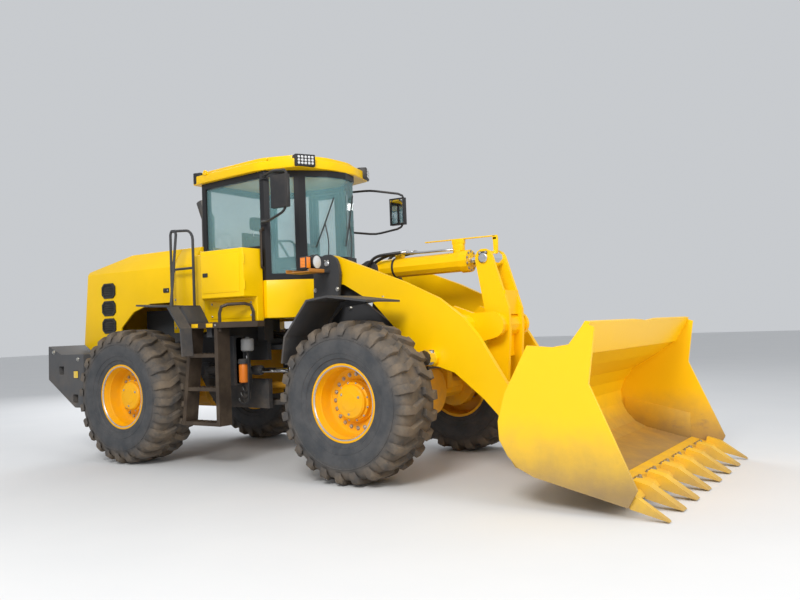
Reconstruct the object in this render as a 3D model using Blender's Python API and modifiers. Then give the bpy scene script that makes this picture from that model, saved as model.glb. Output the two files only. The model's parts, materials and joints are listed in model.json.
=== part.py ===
"""Articulated wheel loader with a Z-bar bucket linkage, a toothed bucket and a glazed cab.

Metres, +X forward to the bucket, +Y to the machine's left, +Z up. Every size below is measured
from the articulation pivot on the floor; machine_origin then centres the machine on the world origin.
"""

import math

import bmesh
import bpy
from mathutils import Matrix, Vector

# Wheels and axles
WHEELBASE = 3.25
TRACK = 2.19
TYRE_RADIUS = 0.787
TYRE_WIDTH = 0.595
TYRE_SIDES = 24
BEAD_RADIUS = 0.3605
BEAD_HALF_WIDTH = 0.215
RIM_FLANGE_RADIUS = 0.381
RIM_FLANGE_WIDTH = 0.02
RIM_WALL = 0.025
RIM_DISC = 0.03
HUB_RADIUS = 0.19
HUB_LENGTH = 0.13
AXLE_TUBE_RADIUS = 0.125
BRAKE_RADIUS = 0.24
TRUNNION = 0.10

# How round shapes are divided, and how far from flat two faces may be and still merge
ROUND_SIDES = 12
FLAT_ANGLE = math.radians(0.05)

# Clearances
FIT_GAP = 0.0003
THRUST_GAP = 0.0005
BORE_GAP = 0.0003
ROD_GAP = 0.0006
RUN_GAP = 0.006

FRONT_X = WHEELBASE / 2
REAR_X = -WHEELBASE / 2
AXLE_Z = TYRE_RADIUS * math.cos(math.pi / TYRE_SIDES)

# Front linkage pins, as (x, z) in the plane of the boom
BOOM_PIN = (FRONT_X - 0.655, 2.12)
BUCKET_PIN = (FRONT_X + 1.495, 0.55)
LIFT_EYE = (FRONT_X + 0.562, 1.167)
LIFT_BASE = (FRONT_X - 0.905, 0.86)
CRANK_PIN = (FRONT_X + 1.075, 1.467)
CRANK_TOP = (FRONT_X + 0.945, 2.14)
CRANK_LOW = (FRONT_X + 1.067, 0.68)
TILT_BASE = (FRONT_X - 0.475, 2.12)
PIN_RADIUS = 0.055
SMALL_PIN = 0.045

# Boom and its cylinders
BOOM_INNER = 0.54
BOOM_OUTER = 0.60
BOOM_HUB = 0.15
BOOM_TIP = 0.13
CROSS_TUBE = (FRONT_X + 0.775, 1.45)
CROSS_TUBE_RADIUS = 0.13
CRANK_EAR_INNER = 0.25
CRANK_EAR_OUTER = 0.30
LIFT_Y = 0.695
LIFT_BARREL = 0.08
LIFT_ROD = 0.045
LIFT_BARREL_LENGTH = 1.36
LIFT_CLOSING = 0.031
LIFT_EYE_HALF = 0.085
TILT_BARREL = 0.105
TILT_ROD = 0.05
TILT_BARREL_LENGTH = 1.18
TILT_CLOSING = 0.134
TILT_EAR_INNER = 0.125
CRANK_HALF = 0.17
CRANK_PLATE = 0.045
LINK_HALF = CRANK_HALF - CRANK_PLATE - THRUST_GAP

# Bucket: its own frame starts at the tooth tips, u forward and w up
BUCKET_WIDTH = 3.0
BUCKET_TIP = (FRONT_X + 3.034, 0.01)
BUCKET_ANGLE = math.radians(13.3)
BUCKET_SKIN = 0.03
BUCKET_SIDE = 0.03
LINK_PIN_LOCAL = (-1.642, 0.446)
LINK_EYE = 0.075
EAR_GAP = 0.006
TEETH = 8

# Frames
FRAME_INNER = 0.44
FRAME_OUTER = 0.48
TOWER_INNER = 0.63
TOWER_OUTER = 0.67
HINGE_NOSE = 0.13
UPPER_LUG = (1.262, 1.318)
LOWER_LUG = (0.612, 0.668)
FORK_PLATE = 0.035
SHAFT_Z = 0.82
REAR_PLATE_INNER = 0.36
REAR_PLATE_OUTER = 0.42
STEER_Z = 1.04
STEER_REAR = (-1.00, 0.56)
STEER_FRONT = (0.30, 0.52)
STEER_BARREL = 0.05
STEER_ROD = 0.028
STEER_PIN = 0.028
STEER_BARREL_LENGTH = 0.84
STEER_CLOSING = 0.339

# Cab plan, from the rear corner round to the middle of the windscreen, for +Y
CAB_PLAN = ((-0.95, 0.62), (0.17, 0.75), (0.46, 0.50), (0.68, 0.25), (0.75, 0.0))
CAB_WALL = 0.05
CAB_FLOOR = (1.63, 1.70)
CAB_BELT = 2.05
CAB_EAVE = 3.27
ROOF_TOP = 3.43
SILL_Z = 2.44
GLASS_TOP = 3.20
CORNER_SILL = 2.12
GLASS = 0.008
DOOR_REAR_X = -0.30
WINDSCREEN_HALF = 0.44
WINDSCREEN_SILL = 2.30
REAR_GLASS_HALF = 0.52
HINGE_RADIUS = 0.014
HINGE_HEIGHTS = (2.50, 2.95)

# Rear body
HOOD_HALF = 0.80
HOOD_SKIN = 0.03
HOOD_FRONT = REAR_X + 0.315
COWL_GAP = 0.008
HOOD_HINGE = (REAR_X - 1.355, 1.42)
HOOD_BOTTOM = 1.282
COWL_BOTTOM = 1.50
COUNTERWEIGHT_HALF = 1.25
REAR_END = REAR_X - 1.556
EXHAUST_X = REAR_X + 0.425
EXHAUST_Y = -0.30
EXHAUST_RADIUS = 0.08
PLATFORM_Z = (1.54, 1.60)
PLATFORM_Y = 1.20
RAIL_RADIUS = 0.018

SHIFT_X = -(BUCKET_TIP[0] + REAR_END) / 2


def clear_scene():
    for obj in list(bpy.data.objects):
        bpy.data.objects.remove(obj, do_unlink=True)


def new_collection(name, helper=False):
    collection = bpy.data.collections.new(name)
    collection.hide_render = helper
    bpy.context.scene.collection.children.link(collection)
    return collection


def new_material(name, colour, roughness, metallic=0.0, alpha=1.0):
    material = bpy.data.materials.new(name)
    material.use_nodes = True
    shader = material.node_tree.nodes["Principled BSDF"]
    shader.inputs["Base Color"].default_value = (*colour, 1.0)
    shader.inputs["Roughness"].default_value = roughness
    shader.inputs["Metallic"].default_value = metallic
    shader.inputs["Alpha"].default_value = alpha
    return material


def helper_object(data):
    """A shape on its way into a node, kept with the cutters."""
    obj = bpy.data.objects.new("shape", data)
    obj.hide_render = True
    CUTTERS.objects.link(obj)
    if obj.type == "MESH":
        obj.display_type = "WIRE"
    return obj


def from_bmesh(shape):
    mesh = bpy.data.meshes.new("shape")
    bmesh.ops.recalc_face_normals(shape, faces=shape.faces)
    shape.to_mesh(mesh)
    shape.free()
    return helper_object(mesh)


def evaluated_mesh(obj):
    """The object's mesh as its modifiers leave it, in world space, with the helper removed."""
    bpy.context.view_layer.update()
    graph = bpy.context.evaluated_depsgraph_get()
    mesh = bpy.data.meshes.new_from_object(obj.evaluated_get(graph))
    mesh.transform(obj.matrix_world)
    bpy.data.objects.remove(obj, do_unlink=True)
    shape = bmesh.new()
    shape.from_mesh(mesh)
    bmesh.ops.remove_doubles(shape, verts=shape.verts, dist=2e-5)
    bmesh.ops.dissolve_degenerate(shape, edges=shape.edges, dist=1e-5)
    bmesh.ops.dissolve_limit(shape, angle_limit=FLAT_ANGLE, verts=shape.verts, edges=shape.edges)
    shape.to_mesh(mesh)
    shape.free()
    return mesh


def box(low, high):
    low, high = Vector(low), Vector(high)
    place = Matrix.Translation((low + high) / 2) @ Matrix.Diagonal((*(high - low), 1))
    shape = bmesh.new()
    bmesh.ops.create_cube(shape, size=1, matrix=place)
    return from_bmesh(shape)


def rod(start, end, radius, end_radius=None, sides=ROUND_SIDES):
    """A round bar or cone between two points, with a flat of its polygon towards its local X axis."""
    start, end = Vector(start), Vector(end)
    along = end - start
    turn = along.to_track_quat("Z", "Y").to_matrix().to_4x4()
    place = Matrix.Translation((start + end) / 2) @ turn
    shape = bmesh.new()
    bmesh.ops.create_cone(
        shape,
        cap_ends=True,
        segments=sides,
        radius1=radius,
        radius2=radius if end_radius is None else end_radius,
        depth=along.length,
        matrix=place,
    )
    return from_bmesh(shape)


def cross_pin(at, low_y, high_y, radius, sides=ROUND_SIDES):
    return rod((at[0], low_y, at[1]), (at[0], high_y, at[1]), radius, sides=sides)


def arc(centre, radius, first, last, steps):
    """Points on an arc, from one angle to another in degrees."""
    angles = [math.radians(first + (last - first) * k / steps) for k in range(steps + 1)]
    return [(centre[0] + radius * math.cos(a), centre[1] + radius * math.sin(a)) for a in angles]


def bore_radius(pin_radius):
    return (pin_radius + BORE_GAP) / math.cos(math.pi / ROUND_SIDES)


def bore(at, low_y, high_y, pin_radius):
    """A cutter along Y that clears a round pin by BORE_GAP at the flats of its polygon."""
    return cross_pin(at, low_y, high_y, bore_radius(pin_radius))


def rounded(points, radius, steps=3):
    """The outline with each corner cut by a short arc, no longer than its sides allow."""
    outline = []
    for index, corner in enumerate(points):
        corner = Vector(corner)
        before = Vector(points[index - 1]) - corner
        after = Vector(points[(index + 1) % len(points)]) - corner
        reach = min(radius, 0.45 * before.length, 0.45 * after.length)
        start = corner + before.normalized() * reach
        end = corner + after.normalized() * reach
        for step in range(steps + 1):
            t = step / steps
            outline.append(tuple((1 - t) ** 2 * start + 2 * t * (1 - t) * corner + t * t * end))
    return outline


def plate(outline, low, high, holes=(), normal="Y"):
    """A flat outline, with its holes, between two planes square to the normal axis."""
    curve = bpy.data.curves.new("shape", "CURVE")
    curve.dimensions = "2D"
    curve.fill_mode = "BOTH"
    curve.extrude = (high - low) / 2
    for points in (outline, *holes):
        spline = curve.splines.new("POLY")
        spline.points.add(len(points) - 1)
        for point, (first, second) in zip(spline.points, points):
            point.co = (first, second, 0, 1)
        spline.use_cyclic_u = True
    obj = helper_object(curve)
    middle = (low + high) / 2
    if normal == "Y":
        obj.matrix_world = Matrix.Translation((0, middle, 0)) @ Matrix.Rotation(math.pi / 2, 4, "X")
    elif normal == "X":
        swap = Matrix(((0, 0, 1, 0), (1, 0, 0, 0), (0, 1, 0, 0), (0, 0, 0, 1)))
        obj.matrix_world = Matrix.Translation((middle, 0, 0)) @ swap
    else:
        obj.matrix_world = Matrix.Translation((0, 0, middle))
    mesh = evaluated_mesh(obj)
    shape = bmesh.new()
    shape.from_mesh(mesh)
    return from_bmesh(shape)


def strip(path, thickness, low, high):
    """A bent plate that follows a path in the XZ plane, its thickness above the path."""
    points = [Vector(point) for point in path]
    offset = []
    for index, point in enumerate(points):
        before = points[max(index - 1, 0)]
        after = points[min(index + 1, len(points) - 1)]
        first = (point - before).normalized() if index else (after - point).normalized()
        second = (after - point).normalized() if index < len(points) - 1 else first
        normal = (Vector((-first.y, first.x)) + Vector((-second.y, second.x))).normalized()
        spread = thickness / max(normal.dot(Vector((-first.y, first.x))), 0.5)
        offset.append(tuple(point + normal * spread))
    return plate([tuple(point) for point in points] + offset[::-1], low, high)


def pipe(points, radius, smooth=False):
    """A round tube through the points, its corners rounded when smooth."""
    curve = bpy.data.curves.new("shape", "CURVE")
    curve.dimensions = "3D"
    curve.bevel_depth = radius
    curve.bevel_resolution = 2
    curve.use_fill_caps = True
    spline = curve.splines.new("POLY")
    route = bend_route(points, 5 * radius) if smooth else points
    spline.points.add(len(route) - 1)
    for point, place in zip(spline.points, route):
        point.co = (*place, 1)
    mesh = evaluated_mesh(helper_object(curve))
    shape = bmesh.new()
    shape.from_mesh(mesh)
    return from_bmesh(shape)


def bend_route(points, radius):
    """The route with each inner corner replaced by a short bend."""
    route = [Vector(points[0])]
    for before, corner, after in zip(points, points[1:], points[2:]):
        corner = Vector(corner)
        back, ahead = Vector(before) - corner, Vector(after) - corner
        reach = min(radius, 0.45 * back.length, 0.45 * ahead.length)
        start, end = corner + back.normalized() * reach, corner + ahead.normalized() * reach
        route += [start, (start + end + 2 * corner) / 4, end]
    return route + [Vector(points[-1])]


def turned(profile, at, sides):
    """A profile of (radius, y) turned about a Y axis through (x, z), a flat of its polygon down."""
    mesh = bpy.data.meshes.new("shape")
    points = [(radius, 0, y) for radius, y in profile]
    edges = [(k, (k + 1) % len(points)) for k in range(len(points))]
    mesh.from_pydata(points, edges, [])
    obj = helper_object(mesh)
    screw = obj.modifiers.new("turn", "SCREW")
    screw.axis = "Z"
    screw.steps = sides
    screw.render_steps = sides
    screw.use_merge_vertices = True
    screw.merge_threshold = 1e-5
    flat = Matrix.Rotation(math.pi / sides, 4, "Y")
    lay = Matrix.Rotation(-math.pi / 2, 4, "X")
    obj.matrix_world = Matrix.Translation((at[0], 0, at[1])) @ flat @ lay
    mesh = evaluated_mesh(obj)
    shape = bmesh.new()
    shape.from_mesh(mesh)
    return from_bmesh(shape)


def combined(pieces, cuts=(), common=()):
    """One mesh from overlapping pieces, less the cuts, and kept inside each of common."""
    base, *others = pieces
    for operation, shapes in (("UNION", others), ("DIFFERENCE", cuts), ("INTERSECT", common)):
        for shape in shapes:
            step = base.modifiers.new("step", "BOOLEAN")
            step.operation = operation
            step.solver = "EXACT"
            step.object = shape
    mesh = evaluated_mesh(base)
    for shape in (*others, *cuts, *common):
        bpy.data.objects.remove(shape, do_unlink=True)
    return mesh


def node(name, material, pieces, cuts=(), common=(), pivot=(0, 0, 0), smooth=False):
    """A finished sub-part, its origin on its own pivot, under the machine's origin."""
    mesh = combined(pieces, cuts, common)
    mesh.name = name
    mesh.transform(Matrix.Translation(-Vector(pivot)))
    mesh.materials.clear()
    mesh.materials.append(material)
    if smooth:
        mesh.shade_smooth()
        mesh.set_sharp_from_angle(angle=math.radians(35))
    obj = bpy.data.objects.new(name, mesh)
    obj.location = pivot
    obj.parent = MACHINE
    LOADER.objects.link(obj)
    return obj


def both_sides(build):
    """Runs a builder for the left, at +Y, and the right, at -Y."""
    for side, sign in (("left", 1), ("right", -1)):
        build(side, sign)


def span(sign, inner, outer):
    """Low and high y of a slab between two distances from the middle, on one side."""
    return (inner, outer) if sign > 0 else (-outer, -inner)


# ---------------------------------------------------------------- wheels and axles


def wheel(place, axle_x, side, sign):
    centre = (axle_x, AXLE_Z)
    middle = sign * TRACK / 2
    half = TYRE_WIDTH / 2
    bead = BEAD_HALF_WIDTH
    tread = TYRE_RADIUS
    half_profile = [
        (BEAD_RADIUS, bead),
        (RIM_FLANGE_RADIUS + 0.001, bead),
        (RIM_FLANGE_RADIUS + 0.003, bead + RIM_FLANGE_WIDTH),
        (tread - 0.24, half),
        (tread - 0.06, half - 0.02),
        (tread, half - 0.085),
    ]
    profile = [(r, y) for r, y in half_profile] + [(r, -y) for r, y in reversed(half_profile)]
    tyre = turned([(r, middle + y) for r, y in profile], centre, TYRE_SIDES)
    pivot = (axle_x, middle, AXLE_Z)
    node(f"{place}_tyre_{side}", RUBBER, [tyre], pivot=pivot, smooth=True)

    seat = BEAD_RADIUS - 0.001
    edge = bead + RIM_FLANGE_WIDTH
    inside = seat - RIM_WALL
    outline = [
        (0.0, -RIM_DISC),
        (inside, -RIM_DISC),
        (inside, -edge),
        (RIM_FLANGE_RADIUS, -edge),
        (RIM_FLANGE_RADIUS, -bead - THRUST_GAP),
        (seat, -bead - THRUST_GAP),
        (seat, bead + THRUST_GAP),
        (RIM_FLANGE_RADIUS, bead + THRUST_GAP),
        (RIM_FLANGE_RADIUS, edge),
        (inside, edge),
        (inside - 0.03, 0.0),
        (HUB_RADIUS, 0.0),
        (HUB_RADIUS - 0.03, HUB_LENGTH),
        (0.0, HUB_LENGTH),
    ]
    rim = turned([(r, middle + sign * y) for r, y in outline], centre, TYRE_SIDES)
    node(f"{place}_rim_{side}", RIM_PAINT, [rim], pivot=pivot, smooth=True)


def axle(name, axle_x, input_side, trunnion):
    """A drive axle: differential, tubes, brake housings and spindles that reach the rim discs."""
    spindle = TRACK / 2 - RIM_DISC - THRUST_GAP
    middle = (axle_x, AXLE_Z)
    pieces = [
        cross_pin(middle, -0.80, 0.80, AXLE_TUBE_RADIUS),
        rod((axle_x - 0.22, 0, AXLE_Z), (axle_x + 0.22, 0, AXLE_Z), 0.24, sides=16),
    ]
    for sign in (1, -1):
        pieces.append(cross_pin(middle, *span(sign, 0.775, 0.89), BRAKE_RADIUS, sides=16))
        pieces.append(cross_pin(middle, *span(sign, 0.88, spindle), 0.16))
        if not trunnion:
            low, high = span(sign, FRAME_INNER - 0.06, FRAME_OUTER + 0.02)
            pieces.append(box((axle_x - 0.15, low, AXLE_Z), (axle_x + 0.15, high, 1.0)))
    reach = axle_x + input_side * 0.38
    pieces.append(rod((axle_x, 0, AXLE_Z), (reach, 0, AXLE_Z), 0.14, 0.07))
    if trunnion:
        pieces.append(rod((axle_x - 0.40, 0, AXLE_Z), (axle_x + 0.37, 0, AXLE_Z), TRUNNION))
    else:
        pieces.append(rod((reach + 0.04, 0, AXLE_Z), (0.08, 0, SHAFT_Z), 0.045))
        pieces.append(rod((0.165, 0, SHAFT_Z), (0.06, 0, SHAFT_Z), 0.075))
    node(name, AXLE_PAINT, pieces)


# ---------------------------------------------------------------- front frame


def hinge_plate(reach, half, nose, low, high):
    """A plate that tapers from a frame to a round nose about the articulation pin."""
    ahead = reach > 0
    tip = arc((0, 0), nose, 270, 90, 8) if ahead else arc((0, 0), nose, 90, -90, 8)
    root = [(reach, half), (reach, -half)] if ahead else [(reach, -half), (reach, half)]
    return plate([*tip, *root], low, high, normal="Z")


def front_frame():
    x = FRONT_X
    side = [
        (0.38, 0.58),
        (0.38, 1.37),
        (x - 0.905, 1.60),
        (x - 0.825, 1.98),
        (x - 0.80, 2.16),
        (x - 0.70, 2.25),
        (x - 0.57, 2.24),
        (x - 0.50, 2.12),
        (x - 0.36, 1.78),
        (x + 0.16, 1.42),
        (x + 0.44, 1.20),
        (x + 0.44, 1.0 + FIT_GAP),
        (x - 0.36, 1.0 + FIT_GAP),
        (x - 0.56, 0.58),
    ]
    outline = rounded(side, 0.05, 1)
    pieces = []
    tower = rounded(
        [
            (x - 0.845, 1.46),
            (x - 0.845, 2.16),
            (x - 0.74, 2.27),
            (x - 0.56, 2.27),
            (x - 0.49, 2.12),
            (x - 0.53, 1.75),
            (x - 0.70, 1.46),
        ],
        0.05,
        1,
    )
    for sign in (1, -1):
        pieces.append(plate(outline, *span(sign, FRAME_INNER, FRAME_OUTER)))
        pieces.append(plate(tower, *span(sign, TOWER_INNER, TOWER_OUTER)))
        low, high = span(sign, FRAME_INNER + 0.01, TOWER_OUTER)
        pieces.append(box((x - 0.84, low, 1.44), (x - 0.705, high, 1.48)))
        pieces.append(box((x - 0.85, low, 1.45), (x - 0.825, high, 1.90)))
        pieces.append(cross_pin(BOOM_PIN, *span(sign, FRAME_INNER + 0.01, TOWER_OUTER - 0.01), PIN_RADIUS))
        pieces.append(cross_pin(LIFT_BASE, *span(sign, FRAME_INNER + 0.01, LIFT_Y - LIFT_EYE_HALF - THRUST_GAP), 0.10))
        pieces.append(cross_pin(LIFT_BASE, *span(sign, FRAME_INNER + 0.02, LIFT_Y + LIFT_EYE_HALF + 0.01), SMALL_PIN))
        pieces.append(cross_pin(LIFT_BASE, *span(sign, LIFT_Y + LIFT_EYE_HALF + THRUST_GAP, LIFT_Y + LIFT_EYE_HALF + 0.02), 0.075))
        ear = tilt_ear()
        pieces.append(plate(ear, *span(sign, TILT_EAR_INNER, TILT_EAR_INNER + 0.04)))
    pieces.append(box((x - 0.79, -FRAME_INNER - 0.01, 1.82), (x - 0.62, FRAME_INNER + 0.01, 1.98)))
    pieces.append(cross_pin(TILT_BASE, -TILT_EAR_INNER - 0.03, TILT_EAR_INNER + 0.03, SMALL_PIN))
    shaft_hole = arc((0, SHAFT_Z), 0.13, 0, 330, 11)
    bulkhead = [(-0.45, 0.59), (0.45, 0.59), (0.45, 1.36), (-0.45, 1.36)]
    pieces.append(plate(bulkhead, 0.50, 0.54, [shaft_hole], normal="X"))
    pieces.append(box((x + 0.28, -FRAME_INNER - 0.01, 1.04), (x + 0.38, FRAME_INNER + 0.01, 1.16)))
    for low, high in (UPPER_LUG, LOWER_LUG):
        gap = 0.017
        for bottom in (low - gap - FORK_PLATE, high + gap):
            pieces.append(hinge_plate(0.52, 0.45, HINGE_NOSE - 0.01, bottom, bottom + FORK_PLATE))
        pieces.append(rod((0, 0, low - gap - 0.01), (0, 0, high + gap + 0.01), SMALL_PIN))
    for sign in (1, -1):
        for bottom in (STEER_Z - 0.09, STEER_Z + 0.06):
            y = sign * STEER_FRONT[1]
            low, high = span(sign, FRAME_INNER + 0.01, abs(y) + 0.05)
            ear = [(0.24, low), (0.24, high), (0.48, high), (0.48, low)]
            pieces.append(plate(ear, bottom, bottom + 0.03, normal="Z"))
    node("front_frame", FRAME_PAINT, pieces)


def tilt_ear():
    x = FRONT_X
    head = arc(TILT_BASE, 0.10, 110, -60, 8)
    return [(x - 0.76, 1.86), (x - 0.76, 1.97), (x - 0.62, 2.16), *head, (x - 0.60, 1.86)]


def front_fender(side, sign):
    x = FRONT_X
    path = [
        (x - 0.70, 1.16),
        (x - 0.655, 1.416),
        (x - 0.364, 1.757),
        (x - 0.12, 1.785),
        (x + 0.34, 1.724),
    ]
    skin = strip(path, 0.02, *span(sign, 0.80, 1.37))
    gusset = plate(
        [(x - 0.76, 1.58), (x - 0.76, 1.70), (x - 0.36, 1.772), (x + 0.20, 1.75), (x - 0.36, 1.70), (x - 0.57, 1.52)],
        *span(sign, 0.80, 0.83),
    )
    low, high = span(sign, TOWER_OUTER + FIT_GAP, 0.82)
    arm = box((x - 0.745, low, 1.60), (x - 0.655, high, 1.68))
    node(f"front_fender_{side}", FRAME_PAINT, [skin, gusset, arm])


def headlamp(side, sign):
    x = FRONT_X
    low, high = span(sign, TOWER_OUTER + FIT_GAP, 0.86)
    arm = box((x - 0.78, low, 2.07), (x - 0.60, high, 2.12))
    low, high = span(sign, 0.83, 1.08)
    tray = box((x - 0.88, low, 2.06), (x - 0.56, high, 2.11))
    lamp = box((x - 0.84, low + 0.01, 2.10), (x - 0.60, high - 0.01, 2.27))
    node(f"headlamp_{side}", LAMP_PLASTIC, [arm, tray, lamp])


# ---------------------------------------------------------------- boom and linkage


def boom_outline():
    x = FRONT_X
    hub = arc(BOOM_PIN, BOOM_HUB, 260, 70, 10)
    tip = arc(BUCKET_PIN, BOOM_TIP, 45, -125, 10)
    top = [
        (x + 0.26, 1.932),
        (x + 0.655, 1.75),
        (x + 0.917, 1.555),
        (x + 1.068, 1.382),
        (x + 1.355, 0.927),
    ]
    low = [
        (x + 1.254, 0.634),
        (x + 1.119, 0.773),
        (x + 0.812, 1.021),
        (x + 0.634, 1.078),
        (x + 0.50, 1.09),
        (x + 0.43, 1.17),
        (x - 0.129, 1.744),
        (x - 0.492, 1.947),
    ]
    return hub + top + tip + low


def boom():
    outline = boom_outline()
    x, z = CROSS_TUBE
    cuts = []
    ear = [
        (x - 0.10, z - 0.08),
        (x - 0.20, z + 0.15),
        (x - 0.12, z + 0.22),
        (x + 0.10, z + 0.14),
        *arc(CRANK_PIN, 0.13, 80, -80, 8),
        (x + 0.12, z - 0.16),
    ]
    pieces = [cross_pin(CROSS_TUBE, -BOOM_OUTER + 0.02, BOOM_OUTER - 0.02, CROSS_TUBE_RADIUS, sides=16)]
    for sign in (1, -1):
        pieces.append(plate(outline, *span(sign, BOOM_INNER, BOOM_OUTER)))
        boss = span(sign, FRAME_OUTER + THRUST_GAP, TOWER_INNER - THRUST_GAP)
        pieces.append(cross_pin(BOOM_PIN, *boss, 0.115))
        boss = span(sign, BOOM_INNER - EAR_GAP + THRUST_GAP, BOOM_OUTER + EAR_GAP - THRUST_GAP)
        pieces.append(cross_pin(BUCKET_PIN, *boss, 0.10))
        for at in (BOOM_PIN, BUCKET_PIN):
            cuts.append(bore(at, *span(sign, BOOM_INNER - 0.1, BOOM_OUTER + 0.1), PIN_RADIUS))
        pieces.append(cross_pin(LIFT_EYE, *span(sign, BOOM_OUTER - 0.01, LIFT_Y - 0.0505), 0.085))
        pieces.append(plate(ear, *span(sign, CRANK_EAR_INNER, CRANK_EAR_OUTER)))
    pieces.append(cross_pin(CRANK_PIN, -CRANK_EAR_OUTER + 0.01, CRANK_EAR_OUTER - 0.01, PIN_RADIUS))
    node("boom", YELLOW_PAINT, pieces, cuts, pivot=(BOOM_PIN[0], 0, BOOM_PIN[1]))


def bellcrank():
    """The Z-bar lever: two cheeks, a hub on the boom's ears and a clevis at each end."""
    x, z = CRANK_PIN
    top, low = CRANK_TOP, CRANK_LOW
    outline = [
        *arc(top, 0.095, 190, 20, 6),
        (x + 0.13, z + 0.16),
        (x + 0.13, z - 0.08),
        *arc(low, 0.08, -10, -190, 6),
        (x - 0.11, z - 0.13),
        (x - 0.13, z + 0.12),
    ]
    pieces = []
    for sign in (1, -1):
        pieces.append(plate(outline, *span(sign, CRANK_HALF - CRANK_PLATE, CRANK_HALF)))
    pieces.append(cross_pin(CRANK_PIN, -CRANK_EAR_INNER + THRUST_GAP, CRANK_EAR_INNER - THRUST_GAP, 0.115))
    hole = bore(CRANK_PIN, -0.5, 0.5, PIN_RADIUS)
    pieces.append(box((x - 0.05, -CRANK_HALF + 0.02, z + 0.10), (x + 0.09, CRANK_HALF - 0.02, z + 0.34)))
    pieces.append(box((x - 0.08, -CRANK_HALF + 0.02, z - 0.32), (x + 0.03, CRANK_HALF - 0.02, z - 0.10)))
    pieces.append(cross_pin(low, -CRANK_HALF + 0.02, CRANK_HALF - 0.02, SMALL_PIN))
    node("bellcrank", YELLOW_PAINT, pieces, [hole], pivot=(x, 0, z))


def bucket_link():
    start, end = Vector(CRANK_LOW), Vector(LINK_PIN)
    along = (end - start).normalized()
    heading = math.degrees(math.atan2(along.y, along.x))
    outline = [
        *arc(CRANK_LOW, 0.08, heading + 270, heading + 90, 8),
        *arc(LINK_PIN, LINK_EYE, heading + 90, heading - 90, 8),
    ]
    link = plate(outline, -LINK_HALF, LINK_HALF)
    hole = bore(CRANK_LOW, -0.5, 0.5, SMALL_PIN)
    node("bucket_link", YELLOW_PAINT, [link], [hole], pivot=(CRANK_LOW[0], 0, CRANK_LOW[1]))


def bucket_point(u, w):
    """Machine x and z of a point in the bucket's own frame."""
    cos, sin = math.cos(BUCKET_ANGLE), math.sin(BUCKET_ANGLE)
    return (BUCKET_TIP[0] + u * cos + w * sin, BUCKET_TIP[1] - u * sin + w * cos)


LINK_PIN = bucket_point(*LINK_PIN_LOCAL)


def bucket_outline(local):
    return [bucket_point(u, w) for u, w in local]


WRAPPER = (
    (-0.42, 0.012),
    (-1.061, 0.012),
    (-1.20, 0.045),
    (-1.31, 0.115),
    (-1.40, 0.22),
    (-1.443, 0.36),
    (-1.425, 0.50),
    (-1.34, 0.66),
    (-1.12, 0.87),
    (-0.99, 1.02),
    (-0.90, 1.25),
)


def offset_inward(points, thickness):
    inward = []
    for index, point in enumerate(points):
        before = Vector(points[max(index - 1, 0)])
        after = Vector(points[min(index + 1, len(points) - 1)])
        along = (after - before).normalized()
        inward.append(tuple(Vector(point) + Vector((along.y, -along.x)) * thickness))
    return inward


def bucket():
    half = BUCKET_WIDTH / 2
    shell = list(WRAPPER) + offset_inward(WRAPPER, BUCKET_SKIN)[::-1]
    pieces = [plate(bucket_outline(shell), -half + 0.01, half - 0.01)]
    cheek = [
        (-0.30, 0.012),
        (-1.061, 0.011),
        (-1.20, 0.042),
        (-1.31, 0.11),
        (-1.405, 0.215),
        (-1.446, 0.36),
        (-1.43, 0.60),
        (-1.3125, 1.014),
        (-1.104, 1.046),
        (-0.973, 1.099),
        (-0.885, 1.28),
        (-0.80, 1.27),
        (-0.764, 0.835),
        (-0.258, 0.157),
    ]
    for sign in (1, -1):
        pieces.append(plate(bucket_outline(cheek), *span(sign, half - BUCKET_SIDE, half)))
        for inner in (BOOM_INNER - EAR_GAP - 0.05, BOOM_OUTER + EAR_GAP):
            pieces.append(plate(hinge_ear(), *span(sign, inner, inner + 0.05)))
        pin = span(sign, BOOM_INNER - 0.05, BOOM_OUTER + 0.05)
        pieces.append(cross_pin(BUCKET_PIN, *pin, PIN_RADIUS))
        inner = LINK_HALF + 0.012
        pieces.append(plate(link_ear(), *span(sign, inner, inner + 0.05)))
    guard = [(-0.99, 1.0), (-0.985, 1.06), (-0.885, 1.30), (-0.845, 1.30), (-0.93, 1.02)]
    pieces.append(plate(bucket_outline(guard), -half + 0.02, half - 0.02))
    notch_low, notch_high = bucket_point(-0.95, 1.262), bucket_point(-0.80, 1.4)
    notch = plate(
        [(-half + 0.12, notch_high[1]), (0, notch_low[1]), (half - 0.12, notch_high[1])],
        notch_low[0] - 0.2,
        notch_high[0] + 0.2,
        normal="X",
    )
    node("bucket", YELLOW_PAINT, pieces, [notch], pivot=(BUCKET_PIN[0], 0, BUCKET_PIN[1]))


def hinge_ear():
    """The bucket's lower bracket, from its back to the boom's pin."""
    eye = arc(BUCKET_PIN, 0.11, 100, 260, 8)
    root = bucket_outline([(-1.30, 0.105), (-1.39, 0.25), (-1.42, 0.36), (-1.40, 0.48)])
    return eye + root


def link_ear():
    """The bucket's upper bracket, from its back to the link."""
    eye = arc(LINK_PIN, 0.09, 50, 230, 8)
    root = bucket_outline([(-1.43, 0.44), (-1.40, 0.50), (-1.32, 0.66), (-1.24, 0.74)])
    return eye + root


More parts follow.
